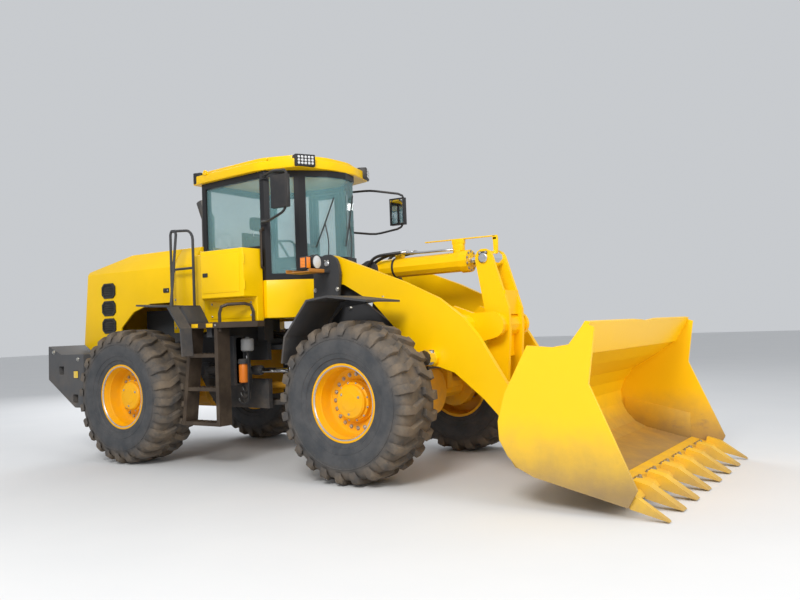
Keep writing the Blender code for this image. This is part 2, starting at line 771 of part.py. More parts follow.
def bucket_edge():
    """The cutting edge with its row of adapters and teeth, as one welded and pinned piece."""
    half = BUCKET_WIDTH / 2
    top = 0.012 + BUCKET_SKIN + FIT_GAP
    blade = [(-0.58, top), (-0.58, top + 0.02), (-0.34, top + 0.02), (-0.30, 0.03), (-0.30, 0.014), (-0.415, 0.014), (-0.415, top)]
    width = half - BUCKET_SIDE - FIT_GAP
    pieces = [plate(bucket_outline(blade), -width, width)]
    tooth = [(-0.42, 0.045), (-0.42, 0.115), (-0.28, 0.11), (-0.02, 0.012), (0.0, 0.0), (-0.06, 0.0), (-0.295, 0.001), (-0.30, 0.02)]
    pitch = (2 * half - 0.12) / (TEETH - 1)
    for index in range(TEETH):
        middle = -half + 0.06 + index * pitch
        thick = 0.055 if index not in (0, TEETH - 1) else 0.029
        pieces.append(plate(bucket_outline(tooth), middle - thick, middle + thick))
    node("bucket_edge", EDGE_STEEL, pieces, pivot=(BUCKET_PIN[0], 0, BUCKET_PIN[1]))


# ---------------------------------------------------------------- cylinders


def along_points(start, end):
    """A function that gives the point at a distance from start towards end."""
    start, end = Vector(start), Vector(end)
    heading = (end - start).normalized()
    return lambda distance: tuple(start + heading * distance)


def cylinder_pair(names, base, eye, sizes, base_eye, rod_eye, axis):
    """A barrel with a blind bore and the rod that slides in it, both pointing at the rod's eye."""
    barrel_radius, rod_radius, length, closing, eye_radius, pin = sizes
    point = along_points(base, eye)
    across = Vector((0, 1, 0)) if axis == "Y" else Vector((0, 0, 1))
    base_half, rod_half = base_eye, rod_eye
    hole = rod_radius + ROD_GAP
    start = Vector(base)
    barrel = [
        rod(start - across * base_half, start + across * base_half, eye_radius),
        rod(point(eye_radius * 0.6), point(length), barrel_radius),
        rod(point(length - 0.09), point(length + 0.01), barrel_radius * 1.12),
    ]
    cuts = [
        rod(point(eye_radius + 0.02), point(length + 0.05), hole),
        rod(start - across * 0.3, start + across * 0.3, bore_radius(pin)),
    ]
    node(names[0], names[2], barrel, cuts, pivot=base, smooth=True)
    end = Vector(eye)
    reach = (end - start).length
    shaft = [
        rod(point(eye_radius + 0.03 + closing), point(reach - 0.01), rod_radius),
        rod(end - across * rod_half, end + across * rod_half, eye_radius * 0.9),
    ]
    node(names[1], CHROME, shaft, pivot=base, smooth=True)


def lift_cylinder(side, sign):
    base = (LIFT_BASE[0], sign * LIFT_Y, LIFT_BASE[1])
    eye = (LIFT_EYE[0], sign * LIFT_Y, LIFT_EYE[1])
    names = (f"lift_cylinder_{side}", f"lift_rod_{side}", YELLOW_PAINT)
    sizes = (LIFT_BARREL, LIFT_ROD, LIFT_BARREL_LENGTH, LIFT_CLOSING, 0.085, SMALL_PIN)
    cylinder_pair(names, base, eye, sizes, LIFT_EYE_HALF, 0.05, "Y")


def tilt_cylinder():
    base = (TILT_BASE[0], 0, TILT_BASE[1])
    eye = (CRANK_TOP[0], 0, CRANK_TOP[1])
    names = ("tilt_cylinder", "tilt_rod", YELLOW_PAINT)
    sizes = (TILT_BARREL, TILT_ROD, TILT_BARREL_LENGTH, TILT_CLOSING, 0.095, SMALL_PIN)
    cylinder_pair(names, base, eye, sizes, TILT_EAR_INNER - THRUST_GAP, CRANK_HALF - CRANK_PLATE - 0.0008, "Y")


def steering_cylinder(side, sign):
    base = (STEER_REAR[0], sign * STEER_REAR[1], STEER_Z)
    eye = (STEER_FRONT[0], sign * STEER_FRONT[1], STEER_Z)
    names = (f"steering_cylinder_{side}", f"steering_rod_{side}", FRAME_PAINT)
    sizes = (STEER_BARREL, STEER_ROD, STEER_BARREL_LENGTH, STEER_CLOSING, 0.05, STEER_PIN)
    cylinder_pair(names, base, eye, sizes, 0.06 - THRUST_GAP, 0.06 - THRUST_GAP, "Z")


# ---------------------------------------------------------------- rear frame and body


def rear_frame():
    x = REAR_X
    rear = x - 0.8188
    slot = (STEER_Z - 0.11, STEER_Z + 0.11)
    outline = [
        (-0.15, 0.59),
        (-0.15, slot[0]),
        (-0.64, slot[0]),
        (-0.64, slot[1]),
        (-0.15, slot[1]),
        (-0.15, 1.41),
        (-0.45, 1.43),
        (-0.93, COWL_BOTTOM - THRUST_GAP),
        (x + 0.60, COWL_BOTTOM - THRUST_GAP),
        (rear, 1.26),
        (rear, 0.80),
        (x - 0.45, 0.80),
        (x - 0.30, 1.06),
        (x + 0.30, 1.06),
        (x + 0.45, 0.80),
        (x + 0.62, 0.59),
    ]
    pieces, cuts = [], []
    for sign in (1, -1):
        pieces.append(plate(outline, *span(sign, REAR_PLATE_INNER, REAR_PLATE_OUTER)))
        low, high = span(sign, REAR_PLATE_INNER + 0.01, PLATFORM_Y - 0.08)
        pieces.append(box((-0.40, low, 1.44), (-0.32, high, PLATFORM_Z[0] - FIT_GAP)))
        low, high = span(sign, REAR_PLATE_INNER + 0.01, 0.80)
        pieces.append(box((-0.41, low, 1.33), (-0.31, high, 1.45)))
        low, high = span(sign, 0.72, 0.86)
        pieces.append(box((-0.52, low, 0.89), (-0.25, high, 1.445)))
        low, high = span(sign, REAR_PLATE_INNER + 0.01, 0.52)
        pieces.append(box((-0.20, low, 1.38), (-0.10, high, CAB_FLOOR[0] - FIT_GAP)))
        pieces.append(box((-0.90, low, 1.38), (-0.80, high, CAB_FLOOR[0] - FIT_GAP)))
        inner, outer = REAR_PLATE_OUTER - 0.01, STEER_REAR[1] + 0.05
        low, high = span(sign, inner, outer)
        for bottom in (STEER_Z - 0.09, STEER_Z + 0.06):
            pieces.append(box((STEER_REAR[0] - 0.06, low, bottom), (STEER_REAR[0] + 0.06, high, bottom + 0.03)))
        pin = (STEER_REAR[0], sign * STEER_REAR[1])
        pieces.append(rod((*pin, STEER_Z - 0.08), (*pin, STEER_Z + 0.08), STEER_PIN))
    pieces.append(box((-0.45, -0.37, 1.34), (-0.30, 0.37, 1.39)))
    pieces.append(box((-1.0, -0.37, 1.40), (-0.90, 0.37, 1.45)))
    pieces.append(box((rear, -0.37, 0.85), (rear + 0.06, 0.37, 1.20)))
    for low, high in (UPPER_LUG, LOWER_LUG):
        pieces.append(hinge_plate(-0.42, 0.37, HINGE_NOSE, low, high))
        gap = 0.017 - THRUST_GAP
        pieces.append(rod((0, 0, low - gap), (0, 0, high + gap), 0.085))
        cuts.append(rod((0, 0, low - 0.1), (0, 0, high + 0.1), bore_radius(SMALL_PIN)))
    pieces.append(box((-0.44, -0.37, UPPER_LUG[0]), (-0.38, 0.37, 1.36)))
    pieces.append(box((-0.44, -0.37, LOWER_LUG[0]), (-0.38, 0.37, 0.72)))
    cuts.append(rod((x - 0.6, 0, AXLE_Z), (x + 0.6, 0, AXLE_Z), TRUNNION + ROD_GAP))
    for offset in (-0.38, 0.28):
        pieces.append(box((x + offset, -0.17, AXLE_Z - 0.15), (x + offset + 0.06, 0.17, 1.12)))
        pieces.append(box((x + offset, -0.37, 1.07), (x + offset + 0.06, 0.37, 1.12)))
    node("rear_frame", FRAME_PAINT, pieces, cuts)


def counterweight():
    x = REAR_X
    outline = [
        (REAR_END + 0.01, 1.391),
        (x - 1.273, HOOD_BOTTOM - THRUST_GAP),
        (x - 0.8191, HOOD_BOTTOM - THRUST_GAP),
        (x - 0.8191, 0.623),
        (x - 1.015, 0.619),
        (REAR_END, 0.96),
    ]
    slab = plate(outline, -COUNTERWEIGHT_HALF, COUNTERWEIGHT_HALF)
    cuts = []
    for sign in (1, -1):
        low, high = span(sign, COUNTERWEIGHT_HALF - 0.12, COUNTERWEIGHT_HALF + 0.1)
        for px, pz in ((x - 1.28, 1.08), (x - 1.00, 0.73)):
            cuts.append(box((px - 0.05, low, pz - 0.05), (px + 0.05, high, pz + 0.05)))
    node("counterweight", FRAME_PAINT, [slab], cuts)


def hood_profile(inset=0.0, front=HOOD_FRONT):
    x = REAR_X
    bottom = HOOD_BOTTOM
    return [
        (x - 1.25, bottom - inset * 4),
        (x - 1.43 + inset, bottom + 0.11 - inset * 4),
        (x - 1.319 + inset, 2.338 - inset),
        (x - 0.611, 2.519 - inset),
        (front, 2.525 - inset),
        (front, bottom - inset * 4),
    ]


def hood_section(inset=0.0):
    half = HOOD_HALF - inset
    top = 2.60 - inset
    return [(-half, 1.0), (half, 1.0), (half, 2.30), (half - 0.22, top), (-half + 0.22, top), (-half, 2.30)]


def engine_hood():
    x = REAR_X
    reach = x - 1.6
    outer = plate(hood_profile(), -HOOD_HALF - 0.1, HOOD_HALF + 0.1)
    section = plate(hood_section(), reach, HOOD_FRONT + 0.1, normal="X")
    inner_mesh = combined(
        [plate(hood_profile(HOOD_SKIN, HOOD_FRONT + 0.2), -HOOD_HALF - 0.1, HOOD_HALF + 0.1)],
        common=[plate(hood_section(HOOD_SKIN), reach, HOOD_FRONT + 0.3, normal="X")],
    )
    arch = plate(wheel_arch(), -HOOD_HALF - 0.2, HOOD_HALF + 0.2)
    shell = helper_object(combined([outer], common=[section]))
    cuts = [helper_object(inner_mesh), arch]
    pivot = (HOOD_HINGE[0], 0, HOOD_HINGE[1])
    node("engine_hood", YELLOW_PAINT, [shell], cuts, pivot=pivot)


def wheel_arch():
    x = REAR_X
    return [
        (x - 0.80, 1.0),
        (x - 0.66, 1.59),
        (x - 0.42, 1.78),
        (x - 0.10, 1.87),
        (x + 0.40, 1.87),
        (x + 0.40, 1.0),
    ]


def front_cowl():
    """The fixed cover between the hood and the cab, which carries the exhaust."""
    low = HOOD_FRONT + COWL_GAP
    high = CAB_PLAN[0][0] - 0.015
    section = plate(hood_section(), low, high, normal="X")
    cap = box((low - 0.1, -1, COWL_BOTTOM), (high + 0.1, 1, 2.525))
    inner = plate(hood_section(HOOD_SKIN), low - 0.1, high - HOOD_SKIN, normal="X")
    inner = helper_object(combined([inner], common=[box((low - 0.2, -1, 0.9), (high + 0.1, 1, 2.525 - HOOD_SKIN))]))
    hole = rod((EXHAUST_X, EXHAUST_Y, 2.3), (EXHAUST_X, EXHAUST_Y, 2.7), EXHAUST_RADIUS + 0.003)
    node("front_cowl", YELLOW_PAINT, [section], [inner, hole], [cap])


def exhaust_stack():
    x, y = EXHAUST_X, EXHAUST_Y
    pieces = [
        rod((x, y, 1.95 + FIT_GAP), (x, y, 2.95), EXHAUST_RADIUS),
        rod((x + 0.01, y, 2.88), (x - 0.09, y, 3.13), EXHAUST_RADIUS - 0.002),
        rod((x, y, 2.526), (x, y, 2.545), EXHAUST_RADIUS + 0.02),
    ]
    mouth = rod((x - 0.055, y, 3.04), (x - 0.20, y, 3.40), EXHAUST_RADIUS - 0.014)
    node("exhaust_stack", DARK_STEEL, pieces, [mouth], smooth=True)


def engine_block():
    x = REAR_X
    pieces = [box((x - 0.75, -0.33, 1.16), (x + 0.30, 0.33, 1.80))]
    pieces.append(box((x + 0.20, -0.38, 1.55), (x + 0.52, 0.33, 1.95)))
    for sign in (1, -1):
        low, high = span(sign, 0.30, REAR_PLATE_INNER - FIT_GAP)
        for offset in (-0.70, 0.02):
            pieces.append(box((x + offset, low, 1.17), (x + offset + 0.10, high, 1.24)))
    node("engine_block", ENGINE_PAINT, pieces)


def transmission():
    x = REAR_X
    pieces = [
        box((-1.05, -0.28, 0.62), (-0.55, 0.28, 1.30)),
        rod((-0.60, 0, SHAFT_Z), (-0.06, 0, SHAFT_Z), 0.045),
        rod((-0.15, 0, SHAFT_Z), (-0.055, 0, SHAFT_Z), 0.075),
    ]
    flange = x + 0.38 + THRUST_GAP
    pieces.append(rod((-1.0, 0, AXLE_Z), (flange, 0, AXLE_Z), 0.05))
    for sign in (1, -1):
        low, high = span(sign, 0.25, REAR_PLATE_INNER - FIT_GAP)
        pieces.append(box((-0.90, low, 0.95), (-0.70, high, 1.05)))
    node("transmission", AXLE_PAINT, pieces)


def side_box(side, sign):
    """The cabinet beside the cab; on the left it ends at the door."""
    front = 0.13 if sign < 0 else DOOR_REAR_X - 0.06
    gap = 0.012
    slope = (CAB_PLAN[1][1] - CAB_PLAN[0][1]) / (CAB_PLAN[1][0] - CAB_PLAN[0][0])
    rear = CAB_PLAN[0][0] - 0.005
    inner_rear = CAB_PLAN[0][1] + slope * (rear - CAB_PLAN[0][0]) + gap
    inner_front = CAB_PLAN[0][1] + slope * (front - CAB_PLAN[0][0]) + gap
    def outline(outer, bevel):
        points = [(rear, inner_rear), (rear, 0.80), (-0.78, 0.81), (bevel, outer), (front, outer), (front, inner_front)]
        return [(x, sign * y) for x, y in points]

    cabinet = plate(outline(1.07, -0.52), 1.87, 2.40, normal="Z")
    skirt = plate(outline(0.86, -0.70), PLATFORM_Z[1] + FIT_GAP, 1.90, normal="Z")
    node(f"side_box_{side}", YELLOW_PAINT, [cabinet, skirt])


def cab_outline(inset=0.0):
    """The cab's plan, closed, with its walls moved in by inset."""
    left = list(CAB_PLAN)
    right = [(x, -y) for x, y in CAB_PLAN[-2::-1]]
    plan = left + right
    moved = []
    for index, point in enumerate(plan):
        before = Vector(plan[index - 1])
        here = Vector(point)
        after = Vector(plan[(index + 1) % len(plan)])
        first = (here - before).normalized()
        second = (after - here).normalized()
        normal = (Vector((first.y, -first.x)) + Vector((second.y, -second.x))).normalized()
        spread = inset / max(normal.dot(Vector((first.y, -first.x))), 0.4)
        moved.append(tuple(here + normal * spread))
    return moved


def wall_piece(first, second, start, end, low, high, inner, outer):
    """A box on the wall between two plan points, from start to end along it."""
    first, second = Vector(first), Vector(second)
    along = (second - first).normalized()
    normal = Vector((-along.y, along.x))
    corners = [first + along * start + normal * outer, first + along * end + normal * outer]
    corners += [first + along * end + normal * inner, first + along * start + normal * inner]
    return plate([tuple(corner) for corner in corners], low, high, normal="Z")


def wall_length(first, second):
    return (Vector(second) - Vector(first)).length


def cab_windows():
    """Each opening as name, wall ends, its start and end along the wall, and its sill."""
    rear, pillar, front = CAB_PLAN[0], CAB_PLAN[1], CAB_PLAN[2]
    along = wall_length(rear, pillar)
    door = (DOOR_REAR_X - rear[0]) / (pillar[0] - rear[0]) * along
    corner = wall_length(pillar, front)
    mirrored = [(x, -y) for x, y in (rear, pillar, front)]
    return {
        "quarter_glass_left": (rear, pillar, 0.07, door - 0.05, SILL_Z),
        "door_left": (rear, pillar, door, along - 0.07, CAB_BELT),
        "corner_glass_left": (pillar, front, 0.06, corner - 0.05, CORNER_SILL),
        "side_glass_right": (mirrored[0], mirrored[1], 0.07, along - 0.07, SILL_Z),
        "corner_glass_right": (mirrored[1], mirrored[2], 0.06, corner - 0.05, CORNER_SILL),
    }


def cab():
    outer = cab_outline()
    inner = cab_outline(CAB_WALL)
    floor = plate(outer, *CAB_FLOOR, normal="Z")
    tub = plate(outer, CAB_FLOOR[1] - 0.01, CAB_BELT, [inner], normal="Z")
    node("cab_base", YELLOW_PAINT, [floor, tub])

    shell = plate(outer, CAB_BELT + FIT_GAP, CAB_EAVE, [inner], normal="Z")
    cuts = []
    for name, (first, second, start, end, sill) in cab_windows().items():
        low = sill if name != "door_left" else sill - 0.1
        cuts.append(wall_piece(first, second, start, end, low, GLASS_TOP, -0.15, 0.15))
    cuts.append(box((0.40, -WINDSCREEN_HALF, WINDSCREEN_SILL), (0.9, WINDSCREEN_HALF, GLASS_TOP)))
    rear_x = CAB_PLAN[0][0]
    cuts.append(box((rear_x - 0.1, -REAR_GLASS_HALF, SILL_Z), (rear_x + 0.2, REAR_GLASS_HALF, GLASS_TOP)))
    first, second, start = cab_windows()["door_left"][:3]
    hinge = door_hinge(first, second, start + RUN_GAP)
    knuckles = []
    for z in HINGE_HEIGHTS:
        low, high = z - 0.06, z - THRUST_GAP
        knuckles.append(rod((*hinge, low), (*hinge, high), HINGE_RADIUS, sides=12))
        knuckles.append(box((hinge[0] - 0.04, hinge[1] - 0.03, low + 0.005), (hinge[0] - 0.004, hinge[1] + 0.006, high - 0.005)))
    node("cab_frame", CAB_PAINT, [shell, *knuckles], cuts)

    for name, (first, second, start, end, sill) in cab_windows().items():
        sign = 1 if first[1] > 0 else -1
        near, far = -sign * 0.030, -sign * (0.030 - GLASS)
        low, high = min(near, far), max(near, far)
        if name == "door_left":
            door(first, second, start + RUN_GAP, end - RUN_GAP, low, high)
            continue
        pane = wall_piece(first, second, start + THRUST_GAP, end - THRUST_GAP, sill + THRUST_GAP, GLASS_TOP - THRUST_GAP, low, high)
        node(name, GLASS_TINT, [pane])
    screen = plate(cab_outline(0.015), WINDSCREEN_SILL + THRUST_GAP, GLASS_TOP - THRUST_GAP, [cab_outline(0.015 + GLASS)], normal="Z")
    limit = box((0.30, -WINDSCREEN_HALF + THRUST_GAP, 1), (1.0, WINDSCREEN_HALF - THRUST_GAP, 4))
    node("windscreen", GLASS_TINT, [screen], common=[limit])
    back = box(
        (rear_x + 0.020, -REAR_GLASS_HALF + THRUST_GAP, SILL_Z + THRUST_GAP),
        (rear_x + 0.020 + GLASS, REAR_GLASS_HALF - THRUST_GAP, GLASS_TOP - THRUST_GAP),
    )
    node("rear_glass", GLASS_TINT, [back])


def door_hinge(first, second, start):
    """The door's pin line, just outside its rear edge."""
    first, second = Vector(first), Vector(second)
    along = (second - first).normalized()
    return first + along * (start + 0.004) + Vector((-along.y, along.x)) * 0.012


def door(first, second, start, end, glass_low, glass_high):
    """The left door, its hinge pin line at its rear edge, outside the wall."""
    wall = (-CAB_WALL, 0.0)
    low = CAB_BELT + RUN_GAP
    high = GLASS_TOP - RUN_GAP
    leaf = wall_piece(first, second, start, end, low, high, *wall)
    rail = 0.06
    sill = 2.16
    window = wall_piece(first, second, start + rail, end - rail, sill, high - rail, -0.15, 0.15)
    first, second = Vector(first), Vector(second)
    along = (second - first).normalized()
    hinge = door_hinge(first, second, start)
    hinges = [rod((*hinge, z), (*hinge, z + 0.12), HINGE_RADIUS, sides=12) for z in HINGE_HEIGHTS]
    pivot = (*hinge, 0)
    node("door_left", CAB_PAINT, [leaf, *hinges], [window], pivot=pivot)
    pane = wall_piece(
        first, second, start + rail + THRUST_GAP, end - rail - THRUST_GAP, sill + THRUST_GAP, high - rail - THRUST_GAP, glass_low, glass_high
    )
    node("door_glass_left", GLASS_TINT, [pane], pivot=pivot)


def cab_roof():
    low = CAB_EAVE + FIT_GAP
    deck = plate(rounded(cab_roof_plan(0.0), 0.06, 2), low, low + 0.10, normal="Z")
    crown = plate(rounded(cab_roof_plan(0.09), 0.08, 2), low + 0.05, ROOF_TOP, normal="Z")
    node("cab_roof", YELLOW_PAINT, [deck, crown])


def cab_roof_plan(inset):
    return [
        (-1.08 + inset, 0.66 - inset),
        (0.10, 0.80 - inset),
        (0.60 - inset, 0.66 - inset),
        (0.74 - inset, 0.20),
        (0.74 - inset, -0.20),
        (0.60 - inset, -0.66 + inset),
        (0.10, -0.80 + inset),
        (-1.08 + inset, -0.66 + inset),
    ]


def mirror(side, sign):
    y = sign * 1.10
    pillar = (0.17, sign * (CAB_PLAN[1][1] + RAIL_RADIUS + FIT_GAP))
    route = [
        (pillar[0] - 0.02, pillar[1], 2.70),
        (0.45, sign * 0.99, 2.66),
        (0.78, y, 2.72),
        (0.83, y, 2.85),
        (0.82, y, 3.14),
        (0.45, sign * 0.90, 3.21),
        (pillar[0] + 0.02, pillar[1] + sign * 0.002, 3.20),
    ]
    arm = pipe(route, 0.014, smooth=True)
    glass = box((0.62, y - 0.03, 2.76), (0.835, y + 0.03, 3.10))
    low, high = span(sign, CAB_PLAN[1][1] + FIT_GAP, pillar[1] * sign)
    pads = [box((0.13, low, z - 0.03), (0.21, high, z + 0.03)) for z in (2.70, 3.20)]
    node(f"mirror_{side}", LAMP_PLASTIC, [glass, arm, *pads])


def operator_seat():
    pieces = [
        box((-0.55, -0.20, CAB_FLOOR[1] + FIT_GAP), (-0.20, 0.20, 2.02)),
        box((-0.62, -0.26, 2.00), (-0.10, 0.26, 2.14)),
        box((-0.72, -0.24, 2.08), (-0.56, 0.24, 2.72)),
        box((-0.70, -0.14, 2.70), (-0.60, 0.14, 2.92)),
    ]
    for sign in (1, -1):
        low, high = span(sign, 0.26, 0.36)
        pieces.append(box((-0.60, low - 0.01, 2.18), (-0.18, high + 0.01, 2.26)))
        pieces.append(box((-0.55, min(low, high) - 0.02, 2.05), (-0.45, max(low, high), 2.20)))
    node("operator_seat", SEAT_FABRIC, pieces)


def steering_column():
    pieces = [
        box((0.40, -0.22, CAB_FLOOR[1] + FIT_GAP), (0.60, 0.22, 2.26)),
        rod((0.36, 0, 2.10), (0.12, 0, 2.48), 0.05, sides=12),
        box((0.20, -0.10, 2.12), (0.48, 0.10, 2.30)),
    ]
    centre = Vector((0.115, 0, 2.485))
    tilt = Vector((-0.53, 0, 0.85)).normalized()
    across = Vector((0, 1, 0))
    up = tilt.cross(across)
    ring = [centre + 0.19 * (math.cos(a) * across + math.sin(a) * up) for a in (math.tau * k / 20 for k in range(21))]
    pieces.append(pipe([tuple(point) for point in ring[:20]] + [tuple(ring[0])], 0.015))
    pieces.append(rod(centre - 0.195 * across, centre + 0.195 * across, 0.012, sides=8))
    node("steering_column", INTERIOR_PLASTIC, pieces)


def access_ladder(side, sign):
    """The platform, its ladder and the grab rail, welded into one piece."""
    plan = [(-0.71, 0.79), (-0.71, PLATFORM_Y), (-0.12, PLATFORM_Y), (0.16, 0.90), (0.16, 0.79)]
    plan = [(x, sign * y) for x, y in plan]
    pieces = [plate(plan, *PLATFORM_Z, normal="Z")]
    out = PLATFORM_Y
    for top_x, low_x in ((-0.60, -0.745), (-0.20, -0.20)):
        outline = [(top_x - 0.02, 1.55), (top_x + 0.03, 1.55), (low_x + 0.03, 0.47), (low_x - 0.02, 0.47)]
        pieces.append(plate(outline, *span(sign, out - 0.20, out - 0.02)))
    for height in (1.24, 0.87, 0.49):
        share = (1.55 - height) / 1.08
        left = -0.60 - 0.145 * share
        low, high = span(sign, out - 0.195, out - 0.025)
        pieces.append(box((left - 0.01, low, height - 0.02), (-0.18, high, height + 0.02)))
    rail = [
        (-0.16, sign * (out - 0.05), 1.50),
        (-0.16, sign * (out - 0.05), 1.79),
        (0.10, sign * 0.90, 1.80),
        (0.10, sign * 0.90, 1.57),
    ]
    pieces.append(pipe(rail, RAIL_RADIUS, smooth=True))
    node(f"access_ladder_{side}", FRAME_PAINT, pieces)


def rear_fender(side, sign):
    """The bent guard over the rear tyre with the handrail that stands on it."""
    x = REAR_X
    path = [(x + 0.34, 1.82), (x + 0.60, 1.80), (x + 0.86, 1.79), (x + 1.03, 1.62)]
    low_path = [(x + 0.86, 1.785), (x + 1.06, 1.54), (x + 1.08, 1.24)]
    pieces = [
        strip(path[:3], 0.02, *span(sign, HOOD_HALF + 0.07, 1.36)),
        strip(low_path, 0.02, *span(sign, PLATFORM_Y + RUN_GAP, 1.36)),
    ]
    low, high = span(sign, HOOD_HALF + 0.07, 1.15)
    pieces.append(plate([(x + 0.80, 1.785), (x + 0.87, 1.80), (x + 0.985, 1.62), (x + 0.985, PLATFORM_Z[1] + FIT_GAP), (x + 0.94, PLATFORM_Z[1] + FIT_GAP)], low, high))
    y = sign * 0.90
    far_y = sign * 1.30
    outer = [(x + 0.86, far_y, 1.78), (x + 0.52, y, 2.70), (x + 0.42, y, 2.71), (x + 0.42, y, 1.81)]
    pieces.append(pipe(outer, RAIL_RADIUS * 0.9, smooth=True))
    bar = [(x + 0.80, y, 1.79), (x + 0.80, y, 2.62), (x + 0.74, y, 2.69), (x + 0.44, y, 2.71)]
    pieces.append(pipe(bar, RAIL_RADIUS * 0.9, smooth=True))
    for height in (2.25,):
        pieces.append(pipe([(x + 0.42, y, height), (x + 0.80, y, height)], RAIL_RADIUS * 0.8))
    node(f"rear_fender_{side}", FRAME_PAINT, pieces)


def build():
    for place, axle_x in (("front", FRONT_X), ("rear", REAR_X)):
        both_sides(lambda side, sign: wheel(place, axle_x, side, sign))
    axle("front_axle", FRONT_X, -1, trunnion=False)
    axle("rear_axle", REAR_X, 1, trunnion=True)
    front_frame()
    both_sides(front_fender)
    both_sides(headlamp)
    boom()
    bellcrank()
    bucket_link()
    bucket()
    bucket_edge()
    both_sides(lift_cylinder)
    tilt_cylinder()
    both_sides(steering_cylinder)
    rear_frame()
    counterweight()
    engine_hood()
    front_cowl()
    exhaust_stack()
    engine_block()
    transmission()
    both_sides(side_box)
    cab()
    cab_roof()
    both_sides(mirror)
    operator_seat()
    steering_column()
    both_sides(access_ladder)
    both_sides(rear_fender)


clear_scene()
LOADER = new_collection("wheel_loader")
CUTTERS = new_collection("cutters", helper=True)
MACHINE = bpy.data.objects.new("machine_origin", None)
MACHINE.location = (SHIFT_X, 0, 0)
LOADER.objects.link(MACHINE)

YELLOW_PAINT = new_material("yellow_paint", (0.85, 0.55, 0.01), 0.35)
RIM_PAINT = new_material("rim_paint", (0.85, 0.42, 0.01), 0.40)
FRAME_PAINT = new_material("frame_paint", (0.06, 0.06, 0.065), 0.50)
CAB_PAINT = new_material("cab_paint", (0.03, 0.03, 0.035), 0.40)
AXLE_PAINT = new_material("axle_paint", (0.80, 0.40, 0.02), 0.45)
ENGINE_PAINT = new_material("engine_paint", (0.10, 0.11, 0.12), 0.55)
DARK_STEEL = new_material("dark_steel", (0.05, 0.05, 0.055), 0.45, 0.3)
EDGE_STEEL = new_material("edge_steel", (0.80, 0.50, 0.02), 0.50)
RUBBER = new_material("rubber", (0.04, 0.043, 0.047), 0.80)
CHROME = new_material("chrome", (0.75, 0.76, 0.78), 0.12, 1.0)
LAMP_PLASTIC = new_material("lamp_plastic", (0.05, 0.05, 0.05), 0.40)
INTERIOR_PLASTIC = new_material("interior_plastic", (0.05, 0.05, 0.055), 0.60)
SEAT_FABRIC = new_material("seat_fabric", (0.05, 0.05, 0.06), 0.90)
GLASS_TINT = new_material("glass_tint", (0.45, 0.70, 0.74), 0.05, 0.0, 0.35)

build()
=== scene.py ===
"""The visual model of an articulated wheel loader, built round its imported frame.

Sizes are in metres. Every length along the machine is measured from the steering pivot, forward
positive, and Form.piece() moves the finished mesh to where the frame puts that pivot. A point is
(along, across, up), and a sign of 1 stands for the left side, -1 for the right.
"""

from __future__ import annotations

import json
import logging
import math
from dataclasses import dataclass, field
from enum import Enum
from typing import Callable, Iterable, Sequence

import bmesh
import bpy
from mathutils import Matrix, Vector
from mathutils.bvhtree import BVHTree

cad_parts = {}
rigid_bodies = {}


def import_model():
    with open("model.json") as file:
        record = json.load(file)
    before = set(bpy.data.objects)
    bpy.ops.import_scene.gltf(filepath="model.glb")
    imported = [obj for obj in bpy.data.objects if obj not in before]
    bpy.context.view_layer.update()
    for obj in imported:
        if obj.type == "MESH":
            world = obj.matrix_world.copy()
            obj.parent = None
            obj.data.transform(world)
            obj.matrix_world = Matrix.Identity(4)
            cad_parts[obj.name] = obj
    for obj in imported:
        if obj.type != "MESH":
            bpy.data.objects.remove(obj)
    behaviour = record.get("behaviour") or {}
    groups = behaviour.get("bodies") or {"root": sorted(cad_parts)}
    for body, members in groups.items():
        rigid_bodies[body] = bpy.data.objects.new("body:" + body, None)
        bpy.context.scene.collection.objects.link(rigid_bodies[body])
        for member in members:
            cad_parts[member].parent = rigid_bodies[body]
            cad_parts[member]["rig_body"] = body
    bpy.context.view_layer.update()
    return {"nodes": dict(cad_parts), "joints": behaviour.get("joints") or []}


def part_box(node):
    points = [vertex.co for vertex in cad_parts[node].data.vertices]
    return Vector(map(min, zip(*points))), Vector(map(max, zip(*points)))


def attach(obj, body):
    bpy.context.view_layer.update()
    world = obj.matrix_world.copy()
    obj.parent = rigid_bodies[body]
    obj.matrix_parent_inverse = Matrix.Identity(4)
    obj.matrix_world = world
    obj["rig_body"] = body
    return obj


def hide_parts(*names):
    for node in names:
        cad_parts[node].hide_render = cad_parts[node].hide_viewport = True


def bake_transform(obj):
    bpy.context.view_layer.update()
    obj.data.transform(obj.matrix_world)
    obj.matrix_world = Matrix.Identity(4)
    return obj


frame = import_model()

LOG = logging.getLogger("wheel_loader")
JOINTS = {joint["name"]: joint for joint in frame["joints"]}
PIVOT_X = JOINTS["articulation"]["pos_m"][0]
PIVOT = Vector((PIVOT_X, 0, 0))

Point = Sequence[float]
Outline = Sequence[Sequence[float]]
Colour = tuple[float, float, float]

ALONG_X, ALONG_Y, ALONG_Z = (1, 0, 0), (0, 1, 0), (0, 0, 1)
SIGNS = (-1, 1)
SIDES = ("left", "right")

WHEEL_X = 1.625
HUB_Z = 0.7803


def side_sign(side: str) -> int:
    """1 on the left, at +Y, and -1 on the right."""
    return 1 if side == "left" else -1


# ---- shader maths


def operator(operation: str, swapped: bool = False) -> Callable[["Wire", object], "Wire"]:
    """A method of Wire that puts its two values through one Math node.

    Args:
        operation: The Math node's operation.
        swapped: Whether the other value comes first.

    Returns:
        The method.
    """

    def method(self: "Wire", other: object) -> "Wire":
        """One Math node on two values."""
        first, second = (other, self) if swapped else (self, other)
        return self.graph.add("ShaderNodeMath", {"operation": operation}, {0: first, 1: second})

    return method


